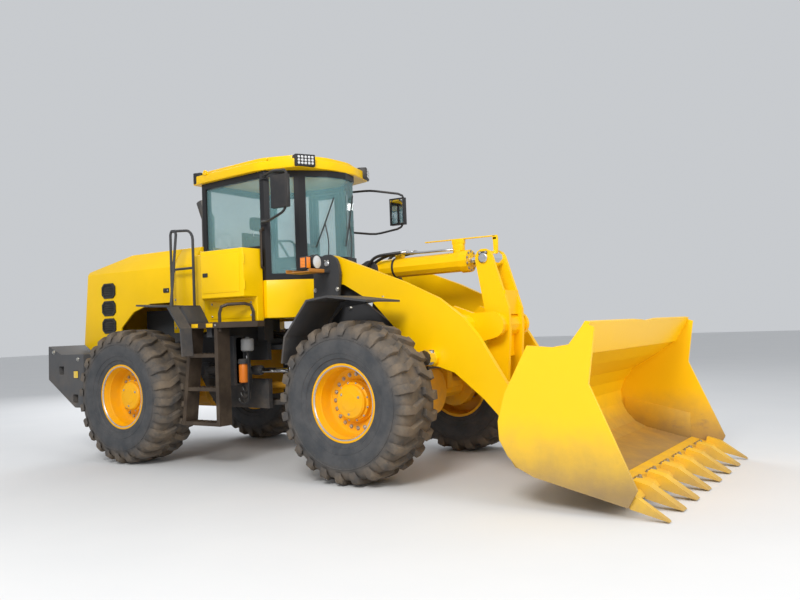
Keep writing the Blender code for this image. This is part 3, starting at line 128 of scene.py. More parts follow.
@dataclass(frozen=True)
class Wire:
    """A shader value that adds Math nodes when it is used in an expression."""

    graph: "Graph"
    socket: bpy.types.NodeSocket

    __add__, __radd__ = operator("ADD"), operator("ADD", True)
    __sub__, __rsub__ = operator("SUBTRACT"), operator("SUBTRACT", True)
    __mul__, __pow__ = operator("MULTIPLY"), operator("POWER")

    def wave(self) -> "Wire":
        """The sine of the value."""
        return self.graph.add("ShaderNodeMath", {"operation": "SINE"}, {0: self})

    def clamped(self) -> "Wire":
        """The value kept between 0 and 1."""
        return self.graph.add("ShaderNodeClamp", {}, {"Value": self})

    def between(self, low: float, high: float) -> "Wire":
        """0 below low, 1 above high, and smooth from one to the other.

        Args:
            low: The value that gives 0.
            high: The value that gives 1.

        Returns:
            The mapped value.
        """
        settings = {"interpolation_type": "SMOOTHSTEP"}
        return self.graph.add("ShaderNodeMapRange", settings,
                              {"Value": self, "From Min": low, "From Max": high})


class Graph:
    """One material's nodes, and the few moves that every finish here makes with them."""

    def __init__(self, name: str) -> None:
        """Starts a material.

        Args:
            name: The material's name.
        """
        self.material = bpy.data.materials.new(name)
        self.material.use_nodes = True
        self.nodes = self.material.node_tree.nodes
        self.links = self.material.node_tree.links
        self.shader = self.nodes["Principled BSDF"]
        self.place = self.out("ShaderNodeTexCoord", "Object")

    def _fill(self, socket: bpy.types.NodeSocket, value: object) -> None:
        """Links a wire to a socket, or sets the socket's own value.

        Args:
            socket: The input to fill.
            value: A wire, or a plain value.
        """
        if isinstance(value, Wire):
            self.links.new(value.socket, socket)
        else:
            socket.default_value = value

    def add(self, kind: str, settings: dict, inputs: dict, output: object = 0) -> Wire:
        """One node of any type.

        Args:
            kind: The node's Blender type.
            settings: Its properties, set before its sockets are used.
            inputs: Its socket names or numbers, each with a value or a wire.
            output: The name or number of the output to return.

        Returns:
            The chosen output.
        """
        node = self.nodes.new(kind)
        for key, value in settings.items():
            setattr(node, key, value)
        for key, value in inputs.items():
            self._fill(node.inputs[key], value)
        return Wire(self, node.outputs[output])

    def out(self, kind: str, output: str) -> Wire:
        """A named output of a node with nothing set."""
        return self.add(kind, {}, {}, output)

    def noise(self, scale: float, detail: float = 3.0, rough: float = 0.55,
              stretch: Point = (1, 1, 1)) -> Wire:
        """Noise over the object's own coordinates.

        Args:
            scale: How many features to a metre.
            detail: Octaves.
            rough: How strong the small octaves are.
            stretch: A factor on each axis.

        Returns:
            The noise, about 0.5 on average.
        """
        place = self.place
        if tuple(stretch) != (1, 1, 1):
            place = self.add("ShaderNodeMapping", {}, {"Vector": place, "Scale": stretch})
        inputs = {"Vector": place, "Scale": scale, "Detail": detail, "Roughness": rough}
        return self.add("ShaderNodeTexNoise", {}, inputs, "Fac")

    def axis(self, name: str) -> Wire:
        """The object's X, Y or Z coordinate."""
        return self.add("ShaderNodeSeparateXYZ", {}, {"Vector": self.place}, name)

    def upward(self) -> Wire:
        """How much the surface faces up, from -1 to 1, on the object as it rests."""
        normal = self.out("ShaderNodeTexCoord", "Normal")
        return self.add("ShaderNodeSeparateXYZ", {}, {"Vector": normal}, "Z")

    def mix(self, share: object, first: object, second: object) -> Wire:
        """A colour between two.

        Args:
            share: 0 for the first, 1 for the second.
            first: A colour of four numbers, or a wire.
            second: The same.

        Returns:
            The mixed colour.
        """
        settings = {"data_type": "RGBA"}
        return self.add("ShaderNodeMix", settings, {0: share, 6: first, 7: second}, 2)

    def bump(self, height: Wire, strength: float, distance: float) -> None:
        """Feeds a height to the shader's normal."""
        inputs = {"Height": height, "Strength": strength, "Distance": distance}
        self.feed("Normal", self.add("ShaderNodeBump", {}, inputs))

    def feed(self, socket: str, value: object) -> None:
        """Sets or links one of the shader's sockets."""
        self._fill(self.shader.inputs[socket], value)


def rgba(colour: Point) -> tuple[float, float, float, float]:
    """The colour with full alpha."""
    return (colour[0], colour[1], colour[2], 1.0)


# ---- finishes

DUST = (0.30, 0.225, 0.15)
GRIME = (0.16, 0.12, 0.08)


@dataclass(frozen=True)
class Recipe:
    """What every finish has: a name, a colour, and a way to make its material."""

    name: str
    colour: Colour

    def shade(self, graph: Graph) -> None:
        """Feeds the shader, as each finish does in its own way."""

    def toned(self, factor: float) -> tuple[float, float, float, float]:
        """The colour made lighter or darker by a factor."""
        return rgba([channel * factor for channel in self.colour])

    def build(self) -> bpy.types.Material:
        """Makes the material.

        Returns:
            The finished material.
        """
        graph = Graph(self.name)
        self.shade(graph)
        return graph.material


@dataclass(frozen=True)
class Paint(Recipe):
    """Sprayed enamel with site dust low down and on ledges, and worn, slightly uneven gloss."""

    roughness: float = 0.36
    dust: float = 0.25
    dust_height: float = 1.3
    coat: float = 0.06
    dust_colour: Colour = DUST

    def shade(self, graph: Graph) -> None:
        """Feeds the shader.

        Args:
            graph: The material's nodes.
        """
        tone = graph.noise(1.7, 4.0)
        base = graph.mix(tone.between(0.30, 0.75) * 0.35, self.toned(1), self.toned(0.80))
        speckle = graph.noise(38.0, 5.0, 0.7)
        patches = graph.noise(4.5, 6.0, 0.65)
        low = 1 - graph.axis("Z").between(0.15, self.dust_height)
        ledge = graph.upward().between(0.35, 0.95)
        film = (low * 0.9 + ledge * 0.35) * patches.between(0.32, 0.72)
        film = ((film + speckle.between(0.62, 0.78) * low * 0.5) * self.dust).clamped()
        graph.feed("Base Color", graph.mix(film, base, rgba(self.dust_colour)))
        graph.feed("Roughness", (film * 0.5 + tone * 0.10 + (self.roughness - 0.05)).clamped())
        graph.feed("Coat Weight", (1 - film) * self.coat)
        graph.feed("Coat Roughness", 0.12)
        graph.feed("Specular IOR Level", 0.20)
        graph.bump(graph.noise(220.0, 2.0) * 0.6 + speckle * film, 0.10, 0.002)


@dataclass(frozen=True)
class BucketPaint(Recipe):
    """Enamel that digging has worn: bare and dusty low inside the bucket, scratched along its travel."""

    soil: Colour
    inside_low: float
    inside_high: float

    def shade(self, graph: Graph) -> None:
        """Feeds the shader.

        Args:
            graph: The material's nodes.
        """
        streak = graph.noise(9.0, 6.0, 0.7, (0.25, 3.0, 0.5))
        patches = graph.noise(3.2, 6.0, 0.65)
        floor = 1 - (graph.axis("Z") + patches * 0.35).between(self.inside_low, self.inside_high)
        mask = (floor * 0.92 + streak.between(0.60, 0.74) * 0.30 * (floor * 0.7 + 0.3)).clamped()
        soil = graph.mix(streak, rgba(self.soil), rgba([channel * 1.7 for channel in self.soil]))
        graph.feed("Base Color", graph.mix(mask, rgba(self.colour), soil))
        graph.feed("Roughness", (mask * 0.45 + 0.38).clamped())
        graph.bump(streak * mask + graph.noise(70.0, 4.0) * mask, 0.35, 0.004)


@dataclass(frozen=True)
class Rubber(Recipe):
    """Tyre rubber, grey-blue with brown dust in the tread and a bloom on the walls."""

    dust_colour: Colour
    dust: float
    hub: tuple[float, float]
    tread_start: float
    tread_full: float

    def shade(self, graph: Graph) -> None:
        """Feeds the shader, its dust strongest towards the tread.

        Args:
            graph: The material's nodes.
        """
        across = graph.axis("X") - self.hub[0]
        height = graph.axis("Z") - self.hub[1]
        reach = (across * across + height * height) ** 0.5
        patches = graph.noise(6.0, 6.0, 0.65)
        grain = graph.noise(60.0, 4.0, 0.6)
        tread = reach.between(self.tread_start, self.tread_full)
        film = ((tread * 0.85 + 0.18) * (patches.between(0.25, 0.70) * 0.8 + 0.2) * self.dust).clamped()
        base = graph.mix(patches.between(0.35, 0.7) * 0.5, self.toned(1), self.toned(1.8))
        graph.feed("Base Color", graph.mix(film, base, rgba(self.dust_colour)))
        graph.feed("Roughness", (0.62 + film * 0.3).clamped())
        graph.feed("Specular IOR Level", 0.35)
        graph.bump(grain * 0.5 + patches * 0.5, 0.25, 0.003)


@dataclass(frozen=True)
class Metal(Recipe):
    """Bare or plated metal with fine turning marks and a little grime."""

    roughness: float
    grime: float = 0.15
    marks: Colour = (1.0, 1.0, 1.0)

    def shade(self, graph: Graph) -> None:
        """Feeds the shader.

        Args:
            graph: The material's nodes.
        """
        patches = graph.noise(7.0, 5.0, 0.6)
        lines = graph.noise(160.0, 2.0, 0.5, self.marks)
        film = (patches.between(0.50, 0.75) * self.grime).clamped()
        graph.feed("Base Color", graph.mix(film, rgba(self.colour), rgba(GRIME)))
        graph.feed("Metallic", 1 - film * 0.6)
        graph.feed("Roughness", (film * 0.5 + lines * 0.06 + self.roughness).clamped())
        graph.bump(lines, 0.05, 0.001)


@dataclass(frozen=True)
class Plastic(Recipe):
    """Moulded plastic or hose rubber with a fine leathery grain."""

    roughness: float = 0.5
    grain: float = 420.0
    dust: float = 0.15

    def shade(self, graph: Graph) -> None:
        """Feeds the shader.

        Args:
            graph: The material's nodes.
        """
        cells = graph.add("ShaderNodeTexVoronoi", {}, {"Vector": graph.place, "Scale": self.grain},
                          "Distance")
        patches = graph.noise(5.0, 5.0, 0.6)
        ledge = graph.upward().between(-0.2, 0.9) * 0.7 + 0.3
        film = (patches.between(0.40, 0.75) * ledge * self.dust).clamped()
        graph.feed("Base Color", graph.mix(film, rgba(self.colour), rgba(DUST)))
        graph.feed("Roughness", (patches * 0.12 + film * 0.3 + (self.roughness - 0.06)).clamped())
        graph.bump(cells, 0.12, 0.0008)


@dataclass(frozen=True)
class Fabric(Recipe):
    """Woven seat cloth: crossed threads with a soft sheen."""

    thread: float = 900.0

    def shade(self, graph: Graph) -> None:
        """Feeds the shader.

        Args:
            graph: The material's nodes.
        """
        warp = (graph.axis("Y") * self.thread).wave()
        weft = ((graph.axis("X") + graph.axis("Z")) * self.thread).wave()
        weave = warp * weft * 0.5 + 0.5
        blotch = graph.noise(9.0, 4.0)
        graph.feed("Base Color", graph.mix((weave * 0.6 + blotch * 0.3).clamped(), self.toned(1),
                                           self.toned(2.2)))
        graph.feed("Roughness", 0.85 + weave * 0.1)
        graph.feed("Sheen Weight", 0.3)
        graph.bump(weave, 0.35, 0.001)


@dataclass(frozen=True)
class Glass(Recipe):
    """Tinted safety glass with a faint film of dust towards its foot."""

    clear: float
    foot: float
    roughness: float = 0.04

    def shade(self, graph: Graph) -> None:
        """Feeds the shader.

        Args:
            graph: The material's nodes.
        """
        haze = graph.noise(5.0, 6.0, 0.7)
        low = 1 - graph.axis("Z").between(self.foot, self.foot + 0.45)
        film = (low * haze.between(0.35, 0.8) * 0.35 + haze.between(0.62, 0.8) * 0.10).clamped()
        graph.feed("Base Color", graph.mix(film, rgba(self.colour), rgba(DUST)))
        graph.feed("Roughness", (film * 0.5 + self.roughness).clamped())
        graph.feed("Alpha", (film * 0.5 + self.clear).clamped())
        graph.feed("Specular IOR Level", 0.8)
        graph.feed("Coat Weight", 0.6)
        graph.feed("Coat Roughness", 0.02)


@dataclass(frozen=True)
class Lens(Recipe):
    """A moulded lens with fine prisms behind a clear skin, and a glow: lamp light on the lamp lenses, a
    painted glow on the reflector.
    """

    prisms: float
    glow: float = 0.0

    def shade(self, graph: Graph) -> None:
        """Feeds the shader.

        Args:
            graph: The material's nodes.
        """
        cells = (graph.axis("Y") * self.prisms).wave() * (graph.axis("Z") * self.prisms).wave() * 0.5 + 0.5
        graph.feed("Base Color", graph.mix(cells, self.toned(0.45), self.toned(1)))
        graph.feed("Emission Color", rgba(self.colour))
        graph.feed("Emission Strength", self.glow)
        graph.feed("Roughness", 0.12 + cells * 0.08)
        graph.feed("Coat Weight", 1.0)
        graph.bump(cells, 0.5, 0.002)


YELLOW = (0.98, 0.60, 0.001)


class Finish(Enum):
    """Every finish on the machine, named for what wears it."""

    BODY = Paint("body_yellow", YELLOW, 0.34, 0.09)
    CAB = Paint("cab_yellow", YELLOW, 0.32, 0.07)
    BOOM = Paint("boom_yellow", (0.97, 0.58, 0.001), 0.38, 0.10, 0.9)
    BUCKET = BucketPaint("bucket_yellow", (0.98, 0.58, 0.001), (0.17, 0.12, 0.075), 0.22, 0.95)
    EDGE = BucketPaint("edge_yellow", (0.93, 0.55, 0.004), (0.20, 0.14, 0.09), 0.0, 0.55)
    RIM = Paint("rim_yellow", (0.96, 0.47, 0.001), 0.42, 0.18, 2.2)
    AXLE = Paint("axle_yellow", (0.85, 0.40, 0.003), 0.50, 0.45, 2.0, 0.0)
    FRAME = Paint("frame_grey", (0.052, 0.053, 0.057), 0.48, 0.42, 1.5, 0.0)
    FENDER = Paint("fender_grey", (0.060, 0.061, 0.065), 0.52, 0.50, 2.2, 0.0)
    RAIL = Paint("rail_brown", (0.050, 0.036, 0.026), 0.42, 0.25, 2.2, 0.1)
    BALLAST = Paint("counterweight_grey", (0.085, 0.087, 0.092), 0.55, 0.35, 1.6, 0.0)
    CAB_TRIM = Paint("cab_black", (0.018, 0.018, 0.020), 0.38, 0.15, 2.0)
    ENGINE = Paint("engine_grey", (0.07, 0.075, 0.08), 0.55, 0.5, 2.0, 0.0)
    MESH = Plastic("vent_mesh", (0.012, 0.012, 0.013), 0.6, 300.0, 0.25)
    EXHAUST = Metal("exhaust_steel", (0.14, 0.135, 0.13), 0.45, 0.5)
    CHROME = Metal("rod_chrome", (0.86, 0.87, 0.89), 0.09, 0.06, (1.0, 6.0, 6.0))
    STEEL = Metal("bright_steel", (0.62, 0.62, 0.63), 0.30, 0.25)
    BOLT = Metal("zinc_bolt", (0.48, 0.47, 0.44), 0.38, 0.35)
    PLASTIC = Plastic("black_plastic", (0.016, 0.016, 0.018))
    GASKET = Plastic("gasket_rubber", (0.010, 0.010, 0.011), 0.6, 600.0, 0.08)
    HOSE = Plastic("hose_rubber", (0.014, 0.014, 0.015), 0.42, 700.0, 0.18)
    INTERIOR = Plastic("cab_interior", (0.055, 0.056, 0.060), 0.6)
    SEAT = Fabric("seat_cloth", (0.028, 0.029, 0.033))
    GLASS = Glass("tinted_glass", (0.25, 0.50, 0.53), 0.24, 2.1)
    MIRROR = Metal("mirror_glass", (0.80, 0.83, 0.85), 0.03, 0.05)
    CLEAR_LENS = Lens("clear_lens", (0.80, 0.82, 0.84), 420.0, 0.05)
    AMBER_LENS = Lens("amber_lens", (0.95, 0.25, 0.01), 420.0, 0.15)
    RED_LENS = Lens("red_lens", (0.55, 0.01, 0.008), 420.0, 0.08)
    # The reflector is no lamp. Its glow is a painted glow that stands in for the light it throws back.
    REFLECTOR = Lens("yellow_reflector", (0.95, 0.62, 0.02), 900.0, 0.1)
    TRAY = Paint("lamp_tray", (0.42, 0.17, 0.03), 0.5, 0.3, 3.0, 0.0)
    FILTER = Paint("filter_orange", (0.75, 0.20, 0.02), 0.4, 0.3)
    TANK = Paint("tank_grey", (0.20, 0.205, 0.21), 0.5, 0.5, 2.0, 0.0)
    PLATE = Paint("plate_yellow", (0.85, 0.50, 0.01), 0.45, 0.1)


MADE: dict[str, bpy.types.Material] = {}


def material_of(finish: object) -> bpy.types.Material:
    """The finish's material, made the first time it is asked for.

    Args:
        finish: A member of Finish, or a finish that one piece alone wears.

    Returns:
        The material.
    """
    recipe = finish.value if isinstance(finish, Finish) else finish
    if recipe.name not in MADE:
        MADE[recipe.name] = recipe.build()
    return MADE[recipe.name]


# ---- mesh making

SHARP = math.radians(32)
EASED_SHARE = 0.12
ROD_SIDES = 20


def smoothed(points: Sequence[Point], steps: int) -> list[Vector]:
    """A smooth curve through the points.

    Args:
        points: The points that it passes through.
        steps: How many stretches to make between two points.

    Returns:
        The curve's points.
    """
    spots = [Vector(point) for point in points]
    spots = [spots[0] * 2 - spots[1], *spots, spots[-1] * 2 - spots[-2]]
    curve = []
    for before, first, second, after in zip(spots, spots[1:], spots[2:], spots[3:]):
        for step in range(steps):
            t = step / steps
            pull = (second - before) * t + (before * 2 - first * 5 + second * 4 - after) * t * t
            push = (first * 3 - before - second * 3 + after) * t * t * t
            curve.append((first * 2 + pull + push) * 0.5)
    return curve + [spots[-2]]


def circle(count: int, first: float = 0.0) -> list[tuple[float, float]]:
    """The cosine and sine at even steps round a circle.

    Args:
        count: How many steps.
        first: Where the first lies, in steps.

    Returns:
        The pairs.
    """
    turns = [2 * math.pi * (k + first) / count for k in range(count)]
    return [(math.cos(turn), math.sin(turn)) for turn in turns]


@dataclass
class Form:
    """One visible piece while it is built: a mesh in pivot-based metres, and the finish of each face."""

    name: str
    body: str
    slot: str
    mesh: bmesh.types.BMesh = field(default_factory=bmesh.new)
    finishes: list = field(default_factory=list)

    def number(self, finish: object) -> int:
        """The finish's place in this piece's list, added when it is new.

        Args:
            finish: A member of Finish, or a finish that one piece alone wears.

        Returns:
            The finish's number.
        """
        if finish not in self.finishes:
            self.finishes.append(finish)
        return self.finishes.index(finish)

    def take(self, part: bmesh.types.BMesh, finish: object, bevel: float = 0.0, segments: int = 2) -> None:
        """Adds a finished bit of mesh, its hard edges rounded first.

        Args:
            part: The mesh to add, which is used up.
            finish: What it wears.
            bevel: The width of the rounding.
            segments: How many faces cross the rounding.
        """
        if bevel:
            edges = [e for e in part.edges if len(e.link_faces) == 2 and e.calc_face_angle(0) > SHARP]
            bmesh.ops.bevel(part, geom=edges, offset=bevel, segments=segments, profile=0.5, affect="EDGES",
                            clamp_overlap=True)
        number = self.number(finish)
        for face in part.faces:
            face.material_index = number
        scratch = bpy.data.meshes.new("scratch")
        part.to_mesh(scratch)
        part.free()
        self.mesh.from_mesh(scratch)
        bpy.data.meshes.remove(scratch)

    def box(self, centre: Point, size: Point, finish: object, bevel: float = 0.0,
            turn: Matrix | None = None) -> None:
        """A block with rounded edges, turned about its own centre.

        Args:
            centre: Its middle.
            size: Its full size.
            finish: What it wears.
            bevel: The rounding of its edges.
            turn: A turn about its middle.
        """
        part = bmesh.new()
        bmesh.ops.create_cube(part, size=1.0)
        bmesh.ops.scale(part, vec=Vector(size), verts=part.verts)
        if turn is not None:
            bmesh.ops.transform(part, matrix=turn.to_4x4(), verts=part.verts)
        bmesh.ops.translate(part, vec=Vector(centre), verts=part.verts)
        self.take(part, finish, bevel)

    def slab(self, outline: Outline, low: float, high: float, finish: object, bevel: float = 0.0,
             place: Matrix | None = None) -> None:
        """An outline pushed across the machine.

        Args:
            outline: (x, z) points.
            low: The y where it starts.
            high: The y where it ends.
            finish: What it wears.
            bevel: The rounding of its edges.
            place: A last transform.
        """
        part = bmesh.new()
        rings = [[part.verts.new((x, y, z)) for x, z in outline] for y in (low, high)]
        part.faces.new(rings[0])
        part.faces.new(rings[1])
        for k in range(len(outline)):
            after = (k + 1) % len(outline)
            part.faces.new((rings[0][k], rings[0][after], rings[1][after], rings[1][k]))
        bmesh.ops.recalc_face_normals(part, faces=part.faces)
        if place is not None:
            bmesh.ops.transform(part, matrix=place, verts=part.verts)
        self.take(part, finish, bevel)

    def lathe(self, profile: Outline, centre: Point, along: Point, finish: object, segments: int = 32,
              closed: bool = False) -> None:
        """A profile turned round an axis.

        Args:
            profile: (radius, distance along the axis) points; a radius of 0 closes the end.
            centre: The point on the axis at distance 0.
            along: The axis.
            finish: What it wears.
            segments: Faces round the axis.
            closed: Whether the last point joins the first.
        """
        part = bmesh.new()
        turn = Vector(along).to_track_quat("Z", "Y").to_matrix().to_4x4()
        rings: list[list[bmesh.types.BMVert]] = []
        for radius, distance in profile:
            if radius < 1e-6:
                rings.append([part.verts.new((0, 0, distance))])
                continue
            rings.append([part.verts.new((radius * c, radius * s, distance)) for c, s in circle(segments)])
        pairs = list(zip(rings, rings[1:])) + ([(rings[-1], rings[0])] if closed else [])
        for first, second in pairs:
            for k in range(segments):
                after = (k + 1) % segments
                corners = [first[k % len(first)], first[after % len(first)],
                           second[after % len(second)], second[k % len(second)]]
                part.faces.new(list(dict.fromkeys(corners)))
        bmesh.ops.recalc_face_normals(part, faces=part.faces)
        bmesh.ops.transform(part, matrix=Matrix.Translation(Vector(centre)) @ turn, verts=part.verts)
        self.take(part, finish)

    def rod(self, start: Point, end: Point, radius: float, finish: object) -> None:
        """A round bar with its ends eased.

        Args:
            start: The middle of one end.
            end: The middle of the other.
            radius: The bar's radius.
            finish: What it wears.
        """
        line = Vector(end) - Vector(start)
        ease = radius * EASED_SHARE
        profile = [(0, 0), (radius - ease, 0), (radius, ease), (radius, line.length - ease),
                   (radius - ease, line.length), (0, line.length)]
        self.lathe(profile, start, line, finish, ROD_SIDES)

    def tube(self, points: Sequence[Point], radius: float, finish: object, steps: int = 6,
             segments: int = 10) -> None:
        """A round tube bent smoothly through the points.

        Args:
            points: The points that its centre passes through.
            radius: The tube's radius.
            finish: What it wears.
            steps: Stretches between two points.
            segments: Faces round it.
        """
        part = bmesh.new()
        curve = smoothed(points, steps)
        tangents = [(b - a).normalized() for a, b in zip([curve[0], *curve], [*curve[1:], curve[-1]])]
        tangents = [t if t.length else Vector(ALONG_X) for t in tangents]
        side = tangents[1].orthogonal().normalized()
        rings = []
        for spot, tangent in zip(curve, tangents):
            side = (side - tangent * side.dot(tangent)).normalized()
            other = tangent.cross(side)
            rings.append([part.verts.new(spot + (side * c + other * s) * radius) for c,
                          s in circle(segments)])
        for first, second in zip(rings, rings[1:]):
            for k in range(segments):
                after = (k + 1) % segments
                part.faces.new((first[k], first[after], second[after], second[k]))
        part.faces.new(rings[0])
        part.faces.new(rings[-1])
        bmesh.ops.recalc_face_normals(part, faces=part.faces)
        self.take(part, finish)

    def bolt(self, spot: Point, facing: Point, radius: float) -> None:
        """A hexagon head on a washer.

        Args:
            spot: Where it stands.
            facing: Which way it faces.
            radius: The head's radius.
        """
        wide, thick, top = radius * 1.45, radius * 0.22, radius * 1.1
        self.lathe([(0, 0), (wide, 0), (wide, thick), (0, thick)], spot, facing, Finish.BOLT, 16)
        head = [(radius, radius * 0.2), (radius, top * 0.9), (radius * 0.84, top), (0, top)]
        self.lathe(head, spot, facing, Finish.BOLT, 6)

    def bolts(self, spots: Iterable[Point], facing: Point, radius: float) -> None:
        """The same bolt at each spot."""
        for spot in spots:
            self.bolt(spot, facing, radius)

    def pin(self, centre: Point, outward: int, radius: float) -> None:
        """A pin's end with its keeper plate and two bolts, seen along Y.

        Args:
            centre: The middle of the face that it stands on.
            outward: 1 when it faces +Y, -1 when it faces -Y.
            radius: The pin's radius.
        """
        along = (0, outward, 0)
        x, y, z = centre
        reach, top = radius * 1.5, radius * 0.42
        end = [(0, 0), (radius, 0), (radius, radius * 0.30), (radius * 0.82, top), (0, top)]
        self.lathe(end, centre, along, Finish.STEEL, 28)
        self.box((x, y + outward * radius * 0.14, z + radius * 1.05),
                 (reach * 1.3, radius * 0.26, radius * 0.55), Finish.FRAME, radius * 0.05)
        for step in SIGNS:
            spot = (x + step * reach * 0.45, y + outward * radius * 0.27, z + radius * 1.08)
            self.bolt(spot, along, radius * 0.20)

    def piece(self, *nodes: str) -> bpy.types.Object:
        """Makes the object, moves it to the pivot and puts it on its body.

        Args:
            nodes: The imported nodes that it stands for.

        Returns:
            The object.
        """
        for edge in self.mesh.edges:
            edge.smooth = not (len(edge.link_faces) == 2 and edge.calc_face_angle(0) > SHARP)
        for face in self.mesh.faces:
            face.smooth = True
        bmesh.ops.translate(self.mesh, vec=PIVOT, verts=self.mesh.verts)
        mesh = bpy.data.meshes.new(self.name)
        self.mesh.to_mesh(mesh)
        self.mesh.free()
        for finish in self.finishes:
            mesh.materials.append(material_of(finish))
        made = bpy.data.objects.new(self.name, mesh)
        bpy.context.scene.collection.objects.link(made)
        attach(made, self.body)
        if nodes:
            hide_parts(*nodes)
        LOG.info("%s: %d faces on %s", self.name, len(mesh.polygons), self.body)
        return made


def softened(node: str, finish: object, slot: str, width: float, segments: int = 2) -> bpy.types.Object:
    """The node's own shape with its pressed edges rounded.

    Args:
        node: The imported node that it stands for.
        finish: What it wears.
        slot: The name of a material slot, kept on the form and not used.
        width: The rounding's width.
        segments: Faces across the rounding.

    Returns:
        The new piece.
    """
    form = Form(f"{node}_skin", frame["nodes"][node]["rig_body"], slot)
    part = bmesh.new()
    part.from_mesh(frame["nodes"][node].data)
    bmesh.ops.remove_doubles(part, verts=part.verts, dist=0.0002)
    bmesh.ops.dissolve_limit(part, angle_limit=0.01, verts=part.verts, edges=part.edges)
    bmesh.ops.translate(part, vec=Vector((-PIVOT_X, 0, 0)), verts=part.verts)
    form.take(part, finish, width, segments)
    return form.piece(node)


# ---- wheels


